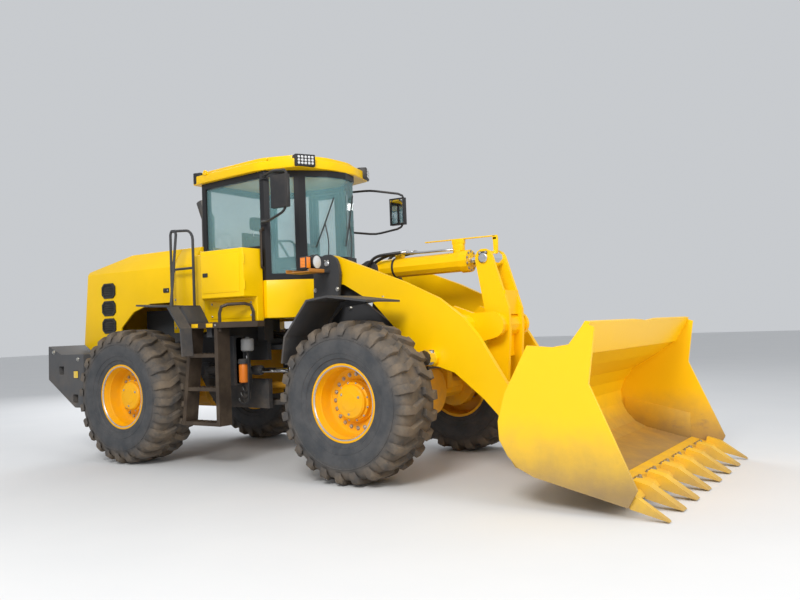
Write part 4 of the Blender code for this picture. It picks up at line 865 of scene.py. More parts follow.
@dataclass(frozen=True)
class Wheel:
    """One tyre with staggered rock lugs, on a deep-dish rim with a planetary hub."""

    end: str
    side: str
    centre_x: float
    track: float = 1.095
    lugs: int = 24
    carcass: Outline = ((0.378, 0.236), (0.402, 0.246), (0.420, 0.250), (0.428, 0.262), (0.446, 0.266),
                        (0.500, 0.281), (0.560, 0.288), (0.620, 0.284), (0.668, 0.272), (0.700, 0.258),
                        (0.722, 0.230), (0.733, 0.170), (0.737, 0.080), (0.738, 0.0))
    crown: Outline = ((0.016, 0.7795, 0.736), (0.085, 0.7790, 0.735), (0.160, 0.7770, 0.732),
                      (0.228, 0.7690, 0.720), (0.272, 0.7460, 0.695), (0.290, 0.7080, 0.672),
                      (0.2945, 0.6620, 0.640))
    sweep: Outline = ((0.060, 0.030), (0.030, 0.032), (-0.006, 0.034), (0.004, 0.040), (0.004, 0.042),
                      (0.004, 0.040), (0.004, 0.034))
    flare: float = 0.010
    lug_arc: float = 0.75
    ribs: Sequence[Outline] = (((0.470, 0.270), (0.474, 0.278), (0.482, 0.279), (0.486, 0.273)),
                               ((0.608, 0.283), (0.612, 0.290), (0.618, 0.290), (0.622, 0.281)))
    bowl: Outline = ((0.352, -0.232), (0.380, -0.232), (0.380, -0.215), (0.366, -0.205), (0.362, 0.200),
                     (0.380, 0.214), (0.3805, 0.230), (0.374, 0.234), (0.350, 0.232), (0.346, 0.222),
                     (0.341, 0.150), (0.334, 0.140), (0.330, 0.030), (0.318, 0.008), (0.300, 0.0),
                     (0.215, 0.0), (0.205, -0.006), (0.205, -0.030), (0.335, -0.030), (0.345, -0.060))
    hub: Outline = ((0.205, -0.02), (0.205, 0.012), (0.196, 0.020), (0.190, 0.024), (0.186, 0.072),
                    (0.176, 0.080), (0.170, 0.082), (0.165, 0.108), (0.150, 0.122), (0.096, 0.128),
                    (0.088, 0.129), (0.085, 0.131), (0.060, 0.1315), (0.0, 0.132))
    lock_ring: Outline = ((0.3475, 0.212), (0.3475, 0.222), (0.356, 0.2345), (0.3475, 0.2345), (0.342, 0.226))
    bolt_rings: tuple = ((20, 0.0, 0.262, 0.0, 0.0145), (12, 0.5, 0.1805, 0.074, 0.008),
                         (3, 0.2, 0.115, 0.124, 0.010))

    @property
    def body(self) -> str:
        """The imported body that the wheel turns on."""
        return f"{self.end}_wheel_{self.side}"

    @property
    def centre(self) -> Vector:
        """The middle of the wheel."""
        return Vector((self.centre_x, self.track * side_sign(self.side), HUB_Z))

    def _lug(self, part: bmesh.types.BMesh, turn: float, hand: int) -> None:
        """One lug, from near the tyre's middle out over the shoulder.

        Args:
            part: The mesh that takes it.
            turn: Where it starts round the tyre, in radians.
            hand: 1 for the row towards +Y, -1 for the other.
        """
        rings = []
        for (across, top, base), (shift, half) in zip(self.crown, self.sweep):
            ring = []
            for radius, reach in ((top, -half), (top, half), (base, half + self.flare),
                                  (base, -half - self.flare)):
                angle = turn + (shift + reach) / self.lug_arc
                ring.append(part.verts.new((radius * math.cos(angle), across * hand,
                                            radius * math.sin(angle))))
            rings.append(ring)
        for first, second in zip(rings, rings[1:]):
            for k in range(4):
                part.faces.new((first[k], first[(k + 1) % 4], second[(k + 1) % 4], second[k]))
        part.faces.new(rings[0])
        part.faces.new(rings[-1])

    def tyre(self) -> None:
        """Builds the carcass, its rim guard and both rows of lugs."""
        rubber = Rubber(f"tyre_rubber_{self.body}", (0.040, 0.047, 0.056), (0.21, 0.155, 0.10), 0.80,
                        (self.centre_x + PIVOT_X, HUB_Z), 0.56, 0.76)
        form = Form(f"tyre_{self.end}_{self.side}", self.body, "rubber")
        inner = [(radius, -across) for radius, across in reversed(self.carcass[:-1])]
        form.lathe([*self.carcass, *inner], self.centre, ALONG_Y, rubber, 120)
        for hand in SIGNS:
            part = bmesh.new()
            for k in range(self.lugs):
                self._lug(part, 2 * math.pi * (k + 0.25 * hand) / self.lugs, hand)
            bmesh.ops.recalc_face_normals(part, faces=part.faces)
            bmesh.ops.translate(part, vec=self.centre, verts=part.verts)
            form.take(part, rubber, 0.004, 1)
            for rib in self.ribs:
                form.lathe([(r, a * hand) for r, a in rib], self.centre, ALONG_Y, rubber, 96, True)
        form.piece(f"{self.end}_tyre_{self.side}")

    def rim(self) -> None:
        """Builds the flanged rim, its disc, the hub with its domed cap, the bolts and the valve."""
        form = Form(f"rim_{self.end}_{self.side}", self.body, "rim_paint")
        out = side_sign(self.side)
        middle = self.centre
        for profile, finish, segments, closed in ((self.bowl, Finish.RIM, 72, True),
                                                  (self.hub, Finish.RIM, 56, False),
                                                  (self.lock_ring, Finish.STEEL, 72, True)):
            form.lathe([(r, a * out) for r, a in profile], middle, ALONG_Y, finish, segments, closed)
        for count, first, reach, stand, radius in self.bolt_rings:
            for c, s in circle(count, first):
                form.bolt(middle + Vector((reach * c, stand * out, reach * s)), (0, out, 0), radius)
        stem = middle + Vector((0.30, 0.0, 0.09))
        bends = [Vector((0.008, 0.03 * out, 0.002)), Vector((0.012, 0.075 * out, 0.004))]
        form.tube([stem, *(stem + bend for bend in bends)], 0.006, Finish.STEEL, 4, 8)
        form.piece(f"{self.end}_rim_{self.side}")

    def build(self) -> None:
        """Builds the tyre and the rim."""
        self.tyre()
        self.rim()


# ---- the bucket


@dataclass(frozen=True)
class BucketDetail:
    """The wear plates and edge bolts of the bucket, placed in its own flat frame."""

    toe_x: float = 4.659
    toe_z: float = 0.01
    nose_down: float = 13.3
    half: float = 1.5
    side: float = 0.03
    teeth: int = 8
    end_tooth: float = 0.06
    bolt_step: float = 0.09
    bolt_u: float = -0.46
    bolt_w: float = 0.0625
    wear_sunk: float = 0.001
    wear_proud: float = 0.010
    wear: Outline = ((-1.350, 0.300), (-0.640, 0.306), (-0.585, 0.030), (-1.240, 0.030), (-1.330, 0.120))

    def place(self) -> Matrix:
        """Turns (u, y, w) of the flat bucket into pivot-based metres."""
        turn = Matrix.Rotation(math.radians(self.nose_down), 4, "Y")
        return Matrix.Translation((self.toe_x, 0, self.toe_z)) @ turn

    def at(self, u: float, y: float, w: float) -> Vector:
        """One point of the flat bucket where the bucket rests."""
        return self.place() @ Vector((u, y, w))

    def build(self) -> None:
        """Builds the wear plates on the shell, and the bolts on the edge."""
        shell = Form("bucket_wear_plates", "bucket", "yellow_paint")
        for sign in SIGNS:
            face = sign * (self.half - self.side)
            near, far = face + sign * self.wear_sunk, face - sign * self.wear_proud
            shell.slab(self.wear, near, far, Finish.BUCKET, 0.003, self.place())
        shell.piece()
        edge = Form("tooth_fixings", "bucket", "edge_steel")
        pitch = 2 * (self.half - self.end_tooth) / (self.teeth - 1)
        up = self.place().to_3x3() @ Vector(ALONG_Z)
        for k in range(self.teeth - 1):
            middle = -self.half + self.end_tooth + pitch * (k + 0.5)
            for step in (-self.bolt_step, 0.0, self.bolt_step):
                edge.bolt(self.at(self.bolt_u, middle + step, self.bolt_w), up, 0.018)
        edge.piece()


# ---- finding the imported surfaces


def outer_face(node: str, x: float, z: float, sign: int) -> float:
    """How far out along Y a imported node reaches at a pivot-based x and z.

    Args:
        node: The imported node.
        x: Where along the machine.
        z: How high.
        sign: 1 for its left side, -1 for its right side.

    Returns:
        The Y of its outermost face there, or of its box when nothing is there.
    """
    tree = BVHTree.FromPolygons(
        [vertex.co for vertex in frame["nodes"][node].data.vertices],
        [polygon.vertices for polygon in frame["nodes"][node].data.polygons])
    spot = tree.ray_cast(Vector((x + PIVOT_X, 5.0 * sign, z)), Vector((0, -sign, 0)))[0]
    low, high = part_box(node)
    return spot.y if spot is not None else (high.y if sign > 0 else low.y)


# ---- hood, cowl and counterweight


@dataclass(frozen=True)
class HoodDetail:
    """Rounded hood and cowl skins, their dark vents, the rear grille and the tail lamps."""

    half: float = 0.80
    vent_x: tuple[float, float] = (-2.655, -2.385)
    vent_tops: tuple[float, float, float] = (2.170, 1.945, 1.720)
    vent_height: float = 0.195
    chamfer: float = 0.045
    slats: int = 5
    grille_half: float = 0.60
    grille_low: float = 1.50
    grille_high: float = 2.24
    grille_slats: int = 17
    foot_x: float = -3.055
    foot_z: float = 1.392
    lean: float = 0.1174
    slat_lean: float = 35.0
    grille_lean: float = 28.0
    seam_x: float = -1.3045
    seam_bolt_x: float = -1.262
    lamp_z: float = 2.02
    latch_z: float = 2.02

    def back_x(self, z: float) -> float:
        """The hood's sloping back face at a height."""
        return self.foot_x + (z - self.foot_z) * self.lean

    def _vent(self, form: Form, top: float, sign: int) -> None:
        """One vent: a chamfered frame, a dark mesh and leaning slats.

        Args:
            form: The piece that takes them.
            top: The height of its upper edge.
            sign: 1 for the left side, -1 for the right.
        """
        rear, front = self.vent_x
        low = top - self.vent_height
        cut = self.chamfer

        def shape(inset: float) -> list[tuple[float, float]]:
            """The vent's outline, moved in by inset.

            Args:
                inset: How far in each edge moves.

            Returns:
                Its corners.
            """
            a, b, c, d = rear + inset, front - inset, low + inset, top - inset
            return [(a + cut, c), (b - cut, c), (b, c + cut), (b, d - cut), (b - cut, d), (a + cut, d),
                    (a, d - cut), (a, c + cut)]

        face = sign * self.half
        form.slab(shape(0.0), face, face + sign * 0.006, Finish.GASKET, 0.002)
        outer, inner = shape(0.004), shape(0.022)
        for k in range(8):
            after = (k + 1) % 8
            corner = [outer[k], outer[after], inner[after], inner[k]]
            form.slab(corner, face + sign * 0.004, face + sign * 0.016, Finish.PLASTIC)
        form.slab(shape(0.020), face + sign * 0.005, face + sign * 0.007, Finish.MESH)
        step = (self.vent_height - 0.05) / self.slats
        lean = Matrix.Rotation(math.radians(self.slat_lean * sign), 3, "X")
        for k in range(self.slats):
            z = low + 0.025 + step * (k + 0.5)
            form.box(((rear + front) / 2, face + sign * 0.008, z), (front - rear - 0.045, 0.016, 0.003),
                     Finish.PLASTIC, 0, lean)

    def _grille(self, form: Form) -> None:
        """The rear grille: a dark panel, its slats, its uprights and a yellow bar.

        Args:
            form: The piece that takes them.
        """
        low, high, half = self.grille_low, self.grille_high, self.grille_half
        panel = [(self.back_x(low) - 0.004, low), (self.back_x(high) - 0.004, high),
                 (self.back_x(high) + 0.01, high), (self.back_x(low) + 0.01, low)]
        form.slab(panel, -half, half, Finish.MESH)
        lean = Matrix.Rotation(math.radians(-self.grille_lean), 3, "Y")
        for k in range(self.grille_slats):
            z = low + (high - low) * (k + 0.5) / self.grille_slats
            form.box((self.back_x(z) - 0.012, 0, z), (0.030, 2 * half - 0.04, 0.005), Finish.PLASTIC, 0.0015,
                     lean)
        for y in (-half, -half / 3, half / 3, half):
            rail = [(self.back_x(low) - 0.026, low - 0.02), (self.back_x(high) - 0.026, high + 0.02),
                    (self.back_x(high) + 0.004, high + 0.02), (self.back_x(low) + 0.004, low - 0.02)]
            form.slab(rail, y - 0.014, y + 0.014, Finish.CAB_TRIM, 0.003)
        for z in (low - 0.01, high + 0.01):
            form.box((self.back_x(z) - 0.012, 0, z), (0.030, 2 * half + 0.03, 0.030), Finish.CAB_TRIM, 0.004)
        middle = (low + high) / 2
        form.box((self.back_x(middle) - 0.030, 0, middle), (0.018, 2 * half + 0.02, 0.060), Finish.BODY,
                 0.005)
        for y in (-0.52, 0.52):
            form.bolt((self.back_x(middle) - 0.039, y, middle), (-1, 0, 0), 0.012)

    def _tail_lamp(self, form: Form, sign: int) -> None:
        """A lamp cluster on the hood's back corner: stop lamp, indicator and reverse lamp.

        Args:
            form: The piece that takes them.
            sign: 1 for the left side, -1 for the right.
        """
        y, z = sign * 0.71, self.lamp_z
        x = self.back_x(z)
        form.box((x - 0.012, y, z), (0.040, 0.105, 0.300), Finish.PLASTIC, 0.008)
        for step, lens in ((0.095, Finish.RED_LENS), (0.0, Finish.AMBER_LENS), (-0.095, Finish.CLEAR_LENS)):
            form.lathe([(0, 0), (0.038, 0), (0.038, 0.008), (0.030, 0.015), (0, 0.018)],
                       (self.back_x(z + step) - 0.030, y, z + step), (-1, 0, 0), lens, 28)
            form.lathe([(0.038, 0), (0.046, 0), (0.046, 0.012), (0.038, 0.012)],
                       (self.back_x(z + step) - 0.028, y, z + step), (-1, 0, 0), Finish.STEEL, 28, True)

    def _latch(self, form: Form, sign: int) -> None:
        """The side latch near the hood's front lower corner.

        Args:
            form: The piece that takes them.
            sign: 1 for the left side, -1 for the right.
        """
        face = sign * self.half
        z = self.latch_z
        form.box((-1.42, face + sign * 0.004, z), (0.10, 0.010, 0.055), Finish.PLASTIC, 0.004)
        form.box((-1.43, face + sign * 0.014, z), (0.060, 0.014, 0.022), Finish.PLASTIC, 0.005)
        form.lathe([(0, 0), (0.011, 0), (0.011, 0.005), (0, 0.006)], (-1.388, face + sign * 0.009, z),
                   (0, sign, 0), Finish.STEEL, 20)

    def build(self) -> None:
        """Builds the hood's skin and everything fixed to it."""
        softened("engine_hood", Finish.BODY, "yellow_paint", 0.010, 3)
        softened("front_cowl", Finish.BODY, "yellow_paint", 0.008)
        form = Form("hood_vents_and_grille", "engine_hood", "lamp_plastic")
        for sign in SIGNS:
            for top in self.vent_tops:
                self._vent(form, top, sign)
            self._tail_lamp(form, sign)
            self._latch(form, sign)
        self._grille(form)
        form.piece()
        seam = Form("hood_seam_gasket", "rear_frame", "lamp_plastic")
        for sign in SIGNS:
            seam.box((self.seam_x, sign * 0.775, 1.90), (0.004, 0.020, 0.74), Finish.GASKET)
        for z in (1.56, 1.90, 2.24):
            for sign in SIGNS:
                seam.bolt((self.seam_bolt_x, sign * 0.799, z), (0, sign, 0), 0.010)
        seam.piece()


@dataclass(frozen=True)
class CounterweightDetail:
    """The side reflectors and the bolts of the counterweight."""

    half: float = 1.25
    back_x: float = -3.156
    reflector_x: float = -2.60
    reflector_z: float = 1.03

    def build(self) -> None:
        """Rounds the casting's edges and adds what is fixed to it."""
        softened("counterweight", Finish.BALLAST, "frame_paint", 0.012)
        form = Form("counterweight_fittings", "rear_frame", "frame_paint")
        for sign in SIGNS:
            face = sign * self.half
            x, z = self.reflector_x, self.reflector_z
            # The reflector's small glow is painted light, because it is no lamp.
            form.box((x, face + sign * 0.0005, z), (0.085, 0.008, 0.085), Finish.REFLECTOR, 0.003)
            form.box((x, face - sign * 0.001, z), (0.100, 0.006, 0.100), Finish.PLASTIC, 0.002)
            for x, z in ((-3.05, 1.31), (-2.55, 1.22)):
                form.bolt((x, face - sign * 0.001, z), (0, sign, 0), 0.018)
        for y in (-1.0, -0.6, 0.6, 1.0):
            form.bolt((self.back_x, y, 1.23), (-1, 0, 0), 0.020)
        form.piece()


# ---- the cab


@dataclass(frozen=True)
class CabDetail:
    """Roof skin, work lamps, wipers, handles, mirror glass and side boxes."""

    lamp_x: float = 0.60
    lamp_y: float = 0.555
    lamp_z: float = 3.345
    mirror_z: float = 2.93
    front_turn: float = 28.0
    rear_turn: float = 12.0
    rear_lamp_x: float = -1.00
    lens_step: float = 0.040
    lens_row: float = 0.034
    eye_y: float = 0.700
    handle_x: float = 0.150
    handle_y: float = 0.795
    handle_low: float = 2.18
    handle_high: float = 2.62

    def _work_lamp(self, form: Form, sign: int, x: float, forward: int) -> None:
        """A lamp box with rows of small lenses, turned a little outwards.

        Args:
            form: The piece that takes them.
            sign: 1 for the left side, -1 for the right.
            x: Where it stands along the roof.
            forward: 1 when it faces forward, -1 when it faces back.
        """
        heading = math.radians(self.front_turn * sign if forward > 0 else 180 - self.rear_turn * sign)
        turn = Matrix.Rotation(heading, 3, "Z")
        centre = Vector((x, sign * self.lamp_y, self.lamp_z))
        form.box(centre, (0.110, 0.235, 0.135), Finish.PLASTIC, 0.010, turn)
        facing = turn @ Vector(ALONG_X)
        across = turn @ Vector(ALONG_Y)
        form.box(centre + facing * 0.0555, (0.006, 0.212, 0.112), Finish.GASKET, 0.002, turn)
        for row in (-1, 0, 1):
            for column in range(5):
                shift = across * (column - 2) * self.lens_step + Vector((0, 0, row * self.lens_row))
                spot = centre + facing * 0.057 + shift
                form.lathe([(0, 0), (0.0145, 0), (0.0145, 0.004), (0.009, 0.008), (0, 0.009)], spot, facing,
                           Finish.CLEAR_LENS, 14)

    def _roof(self) -> None:
        """The roof's skin, its front and rear lamps and the four lifting eyes."""
        softened("cab_roof", Finish.CAB, "yellow_paint", 0.014, 3)
        form = Form("roof_lamps", "rear_frame", "lamp_plastic")
        for sign in SIGNS:
            self._work_lamp(form, sign, self.lamp_x, 1)
            self._work_lamp(form, sign, self.rear_lamp_x, -1)
            for x in (-0.80, 0.20):
                spot = (x, sign * self.eye_y, 3.385)
                form.lathe([(0.014, -0.008), (0.030, -0.008), (0.030, 0.008), (0.014, 0.008)], spot, ALONG_Y,
                           Finish.CAB, 24, True)
                form.box((x, sign * self.eye_y, 3.374), (0.075, 0.026, 0.014), Finish.CAB, 0.004)
        form.piece()

    def _wiper(self, form: Form, start: Point, elbow: Point, low: Point, high: Point) -> None:
        """One wiper: its spindle, a bent arm and a blade with its rubber.

        Args:
            form: The piece that takes them.
            start: The spindle.
            elbow: The arm's bend.
            low: The blade's lower end.
            high: The blade's upper end.
        """
        form.lathe([(0, -0.02), (0.022, -0.02), (0.022, 0.012), (0.014, 0.020), (0, 0.020)], start,
                   (1, 0, 0.1), Finish.PLASTIC, 20)
        form.tube([start, elbow, (Vector(low) + Vector(high)) / 2], 0.0065, Finish.PLASTIC, 6, 8)
        form.tube([low, (Vector(low) + Vector(high)) / 2 + Vector((0.006, 0, 0)), high], 0.008, Finish.GASKET,
                  6, 8)

    def _front(self) -> None:
        """The wipers and the grab handles."""
        form = Form("cab_fittings", "rear_frame", "lamp_plastic")
        self._wiper(form, (0.765, 0.02, 2.235), (0.775, 0.04, 2.45), (0.757, -0.05, 2.42),
                    (0.742, 0.13, 3.02))
        self._wiper(form, (0.688, -0.30, 2.235), (0.70, -0.29, 2.45), (0.595, -0.385, 2.40),
                    (0.735, -0.215, 2.96))
        for sign in SIGNS:
            x, y, wall = self.handle_x, sign * self.handle_y, sign * 0.752
            grip = [(x, y, z) for z in (2.20, 2.26, 2.45, 2.56, 2.60)]
            form.tube([(0.135, wall, self.handle_low), *grip, (0.135, wall, self.handle_high)], 0.013,
                      Finish.RAIL, 6, 12)
            for z in (self.handle_low, self.handle_high):
                form.lathe([(0, 0), (0.024, 0), (0.024, 0.006), (0, 0.006)], (0.132, sign * 0.7465, z),
                           (0, sign, 0), Finish.RAIL, 20)
        form.piece()

    def _door(self) -> None:
        """The door's handle and its plate, which swing with it."""
        form = Form("door_fittings", "door_left", "lamp_plastic")
        face = outer_face("door_left", 0.02, 2.12, 1)
        form.box((0.035, face + 0.001, 2.110), (0.11, 0.010, 0.050), Finish.PLASTIC, 0.003)
        form.tube([(0.00, face + 0.002, 2.112), (0.006, face + 0.012, 2.112), (0.035, face + 0.014, 2.112),
                   (0.070, face + 0.014, 2.112), (0.078, face + 0.004, 2.112)], 0.005, Finish.CAB_TRIM, 6, 10)
        form.piece()

    def _mirrors(self) -> None:
        """Rounded mirror shells with their glass on the inner face."""
        for side in SIDES:
            sign = side_sign(side)
            softened(f"mirror_{side}", Finish.PLASTIC, "lamp_plastic", 0.012, 3)
            glass = Form(f"mirror_glass_{side}", "rear_frame", "lamp_plastic")
            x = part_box(f"mirror_{side}")[1].x - PIVOT_X - 0.1145
            z = self.mirror_z
            glass.box((x, sign * 1.0695, z), (0.180, 0.003, 0.300), Finish.MIRROR, 0.0012)
            glass.box((x, sign * 1.0702, z), (0.192, 0.003, 0.312), Finish.GASKET, 0.0012)
            glass.piece()

    def _base(self) -> None:
        """The belt's skin and the side boxes, with their hinges, latches and raised panels."""
        softened("cab_base", Finish.CAB, "yellow_paint", 0.006)
        form = Form("side_box_fittings", "rear_frame", "yellow_paint")
        for side, front in (("left", -0.36), ("right", 0.13)):
            sign = side_sign(side)
            softened(f"side_box_{side}", Finish.BODY, "yellow_paint", 0.016, 3)
            face = sign * 1.07
            rear, low, high = -0.50, 1.925, 2.345
            panel = [(rear, low), (front - 0.05, low), (front - 0.05, high), (rear, high)]
            if front > 0:
                form.slab(panel, face, face + sign * 0.008, Finish.BODY, 0.0035)
                form.box((rear + 0.06, face + sign * 0.012, 2.13), (0.075, 0.012, 0.045), Finish.PLASTIC,
                         0.004)
            for z in (2.00, 2.28):
                x, y = front + 0.004, face - sign * 0.012
                form.rod((x, y, z - 0.05), (x, y, z + 0.05), 0.010, Finish.BODY)
            skirt = sign * 0.86
            form.slab([(-0.60, 1.64), (front - 0.06, 1.64), (front - 0.06, 1.84), (-0.60, 1.84)], skirt,
                      skirt + sign * 0.006, Finish.BODY, 0.0025)
            for x in (-0.57, front - 0.09):
                for z in (1.67, 1.81):
                    form.bolt((x, skirt + sign * 0.006, z), (0, sign, 0), 0.008)
        form.piece()

    def build(self) -> None:
        """Builds all the cab's fittings."""
        self._roof()
        self._front()
        self._door()
        self._mirrors()
        self._base()


@dataclass(frozen=True)
class OperatorSeat:
    """A suspension seat: three stuffed cushions on a moulded shell, with padded arms and a bellows foot."""

    voxel: float = 0.006
    cap: float = 0.016
    cuts: int = 7
    pinch: float = 0.10
    pressure: float = 4.0
    quality: int = 4
    last_frame: int = 20
    seam_width: float = 0.045
    seam_depth: float = 0.035

    def _cushion(self, name: str, centre: Point, size: Point, seams: Sequence[float]) -> None:
        """One stuffed cushion.

        Args:
            name: The piece's name.
            centre: Its middle, pivot-based.
            size: Its full size.
            seams: Heights or widths of its sewn channels, as shares of its half size.
        """
        part = bmesh.new()
        bmesh.ops.create_cube(part, size=1.0)
        bmesh.ops.subdivide_edges(part, edges=part.edges, cuts=self.cuts, use_grid_fill=True)
        longest = max(range(3), key=lambda axis: size[axis])
        for vertex in part.verts:
            x, y, z = (2 * value for value in vertex.co)
            pinch = 1 - self.pinch * (x * x * y * y + y * y * z * z + x * x * z * z) / 3
            crown = 1 - self.pinch * (x * x + y * y + z * z) / 3
            vertex.co = Vector([value * extent / 2 * pinch * crown for value, extent in zip((x, y, z), size)])
        bmesh.ops.translate(part, vec=Vector(centre) + PIVOT, verts=part.verts)
        mesh = bpy.data.meshes.new(name)
        part.to_mesh(mesh)
        part.free()
        made = bpy.data.objects.new(name, mesh)
        bpy.context.scene.collection.objects.link(made)
        self._stuff(made)
        self._sew(made, Vector(centre) + PIVOT, size, longest, seams)
        smooth = made.modifiers.new("smooth", "SUBSURF")
        smooth.levels = smooth.render_levels = 1
        self._apply(made)
        for polygon in made.data.polygons:
            polygon.use_smooth = True
        made.data.materials.append(material_of(Finish.SEAT))
        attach(made, "rear_frame")
        LOG.info("%s: %d faces on rear_frame", name, len(made.data.polygons))

    def _apply(self, made: bpy.types.Object) -> None:
        """Turns the evaluated mesh into the object's own.

        Args:
            made: The cushion.
        """
        bpy.context.view_layer.update()
        graph = bpy.context.evaluated_depsgraph_get()
        mesh = bpy.data.meshes.new_from_object(made.evaluated_get(graph))
        made.modifiers.clear()
        made.data = mesh

    def _stuff(self, made: bpy.types.Object) -> None:
        """Swells the cushion with the cloth solver, no further than the cap.

        Args:
            made: The cushion.
        """
        remesh = made.modifiers.new("voxels", "REMESH")
        remesh.mode = "VOXEL"
        remesh.voxel_size = self.voxel
        self._apply(made)
        rest = [vertex.co.copy() for vertex in made.data.vertices]
        cloth = made.modifiers.new("stuffing", "CLOTH")
        cloth.settings.use_pressure = True
        cloth.settings.uniform_pressure_force = self.pressure
        cloth.settings.quality = self.quality
        cloth.settings.effector_weights.gravity = 0.0
        scene = bpy.context.scene
        for step in range(1, self.last_frame + 1):
            scene.frame_set(step)
        self._apply(made)
        scene.frame_set(1)
        for vertex, start in zip(made.data.vertices, rest):
            shift = vertex.co - start
            if shift.length > self.cap:
                vertex.co = start + shift.normalized() * self.cap

    def _sew(self, made: bpy.types.Object, centre: Vector, size: Point, longest: int,
             seams: Sequence[float]) -> None:
        """Presses the sewn channels into the cushion's faces.

        Args:
            made: The cushion.
            centre: Its middle.
            size: Its full size.
            longest: The axis that the seams follow, 0 to 2.
            seams: Each channel, as a share of half the size.
        """
        for vertex in made.data.vertices:
            share = (vertex.co[longest] - centre[longest]) / (size[longest] / 2)
            depth = sum(math.exp(-((share - seam) / self.seam_width) ** 2) for seam in seams)
            vertex.co = centre + (vertex.co - centre) * (1 - self.seam_depth * min(depth, 1.0))

    def build(self) -> None:
        """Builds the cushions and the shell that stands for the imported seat."""
        self._cushion("seat_cushion", (-0.355, 0, 2.085), (0.470, 0.480, 0.100), (-0.45, 0.45))
        self._cushion("back_cushion", (-0.628, 0, 2.410), (0.105, 0.440, 0.560), (-0.40, 0.0, 0.40))
        self._cushion("head_cushion", (-0.650, 0, 2.815), (0.075, 0.250, 0.170), ())
        form = Form("seat_shell", "rear_frame", "seat_fabric")
        form.box((-0.365, 0, 2.020), (0.470, 0.480, 0.030), Finish.INTERIOR, 0.012)
        form.box((-0.700, 0, 2.400), (0.026, 0.440, 0.600), Finish.INTERIOR, 0.010)
        for fold in range(6):
            z = 1.722 + fold * 0.045
            form.lathe([(0.17, 0), (0.20, 0.022), (0.17, 0.044), (0.155, 0.022)], (-0.375, 0, z), ALONG_Z,
                       Finish.GASKET, 4, True)
        form.box((-0.375, 0, 1.712), (0.34, 0.38, 0.020), Finish.INTERIOR, 0.006)
        for sign in SIGNS:
            form.rod((-0.50, sign * 0.255, 2.04), (-0.50, sign * 0.305, 2.19), 0.016, Finish.INTERIOR)
            form.box((-0.385, sign * 0.312, 2.222), (0.40, 0.085, 0.060), Finish.INTERIOR, 0.022)
            form.rod((-0.652, sign * 0.07, 2.66), (-0.652, sign * 0.07, 2.78), 0.007, Finish.STEEL)
        form.tube([(-0.22, -0.312, 2.25), (-0.215, -0.312, 2.30), (-0.205, -0.312, 2.34)], 0.010,
                  Finish.PLASTIC, 4)
        form.lathe([(0, -0.03), (0.018, -0.026), (0.024, 0.0), (0.018, 0.026), (0, 0.03)],
                   (-0.203, -0.312, 2.355), (0, 0, 1), Finish.PLASTIC, 20)
        form.piece("operator_seat")


# ---- front frame and lamps


@dataclass(frozen=True)
class Headlamp:
    """A headlamp and its indicator on a bracket with a drip tray."""

    side: str
    lamp_y: float = 0.915
    lamp_z: float = 2.180
    signal_y: float = 1.035
    signal_z: float = 2.170
    tray_y: float = 0.955

    def build(self) -> None:
        """Builds the bracket, the two lamps and their lenses."""
        sign = side_sign(self.side)
        form = Form(f"headlamp_assembly_{self.side}", "front_frame", "lamp_plastic")

        def y(value: float) -> float:
            """The value on this lamp's side."""
            return value * sign

        form.box((0.935, y(0.755), 2.092), (0.150, 0.165, 0.030), Finish.FRAME, 0.006)
        form.box((0.905, y(self.tray_y), 2.075), (0.310, 0.245, 0.012), Finish.TRAY, 0.004)
        for x in (0.752, 1.058):
            form.box((x, y(self.tray_y), 2.090), (0.010, 0.245, 0.035), Finish.TRAY, 0.003)
        form.lathe([(0, 0), (0.050, 0.0), (0.070, 0.045), (0.078, 0.110), (0.078, 0.150), (0.070, 0.156),
                    (0.070, 0.146), (0, 0.146)], (0.885, y(self.lamp_y), self.lamp_z), ALONG_X,
                   Finish.PLASTIC, 36)
        form.lathe([(0, 0), (0.066, 0), (0.066, 0.006), (0.040, 0.014), (0, 0.018)],
                   (1.030, y(self.lamp_y), self.lamp_z),
                   (1, 0, 0), Finish.CLEAR_LENS, 36)
        form.box((0.975, y(self.signal_y), self.signal_z), (0.090, 0.072, 0.130), Finish.PLASTIC, 0.012)
        form.box((1.0215, y(self.signal_y), self.signal_z), (0.008, 0.058, 0.112), Finish.AMBER_LENS, 0.003)
        form.box((0.975, y(1.0705), self.signal_z), (0.062, 0.006, 0.100), Finish.AMBER_LENS, 0.002)
        form.rod((0.925, y(0.915), 2.080), (0.925, y(0.915), 2.110), 0.016, Finish.BOLT)
        form.bolts([(0.80, y(0.90), 2.081), (0.80, y(1.02), 2.081)], ALONG_Z, 0.009)
        form.tube([(0.885, y(0.915), 2.18), (0.82, y(0.90), 2.17), (0.80, y(0.82), 2.12),
                   (0.83, y(0.72), 2.075)], 0.006,
                  Finish.HOSE)
        form.piece(f"headlamp_{self.side}")


@dataclass(frozen=True)
class FrontFrameDetail:
    """Bolts and pins on the front frame's tower, and the bolts on top of its fenders."""

    tower_bolts: Outline = ((0.80, 1.90), (1.10, 1.90), (0.84, 1.72), (1.12, 1.70))
    fender_top: float = 1.7855

    def build(self) -> None:
        """Builds the tower's fittings."""
        form = Form("tower_fittings", "front_frame", "frame_paint")
        for sign in SIGNS:
            for x, z in self.tower_bolts:
                form.bolt((x, outer_face("front_frame", x, z, sign), z), (0, sign, 0), 0.016)
            form.pin((0.97, outer_face("front_frame", 0.97, 2.17, sign), 2.175), sign, 0.030)
            form.pin((0.72, outer_face("front_frame", 0.72, 0.86, sign), 0.86), sign, 0.045)
            form.bolts([(x, sign * 0.705, self.fender_top) for x in (0.99, 1.15, 1.45, 1.70)], ALONG_Z, 0.011)
        form.piece()


# ---- boom and linkage


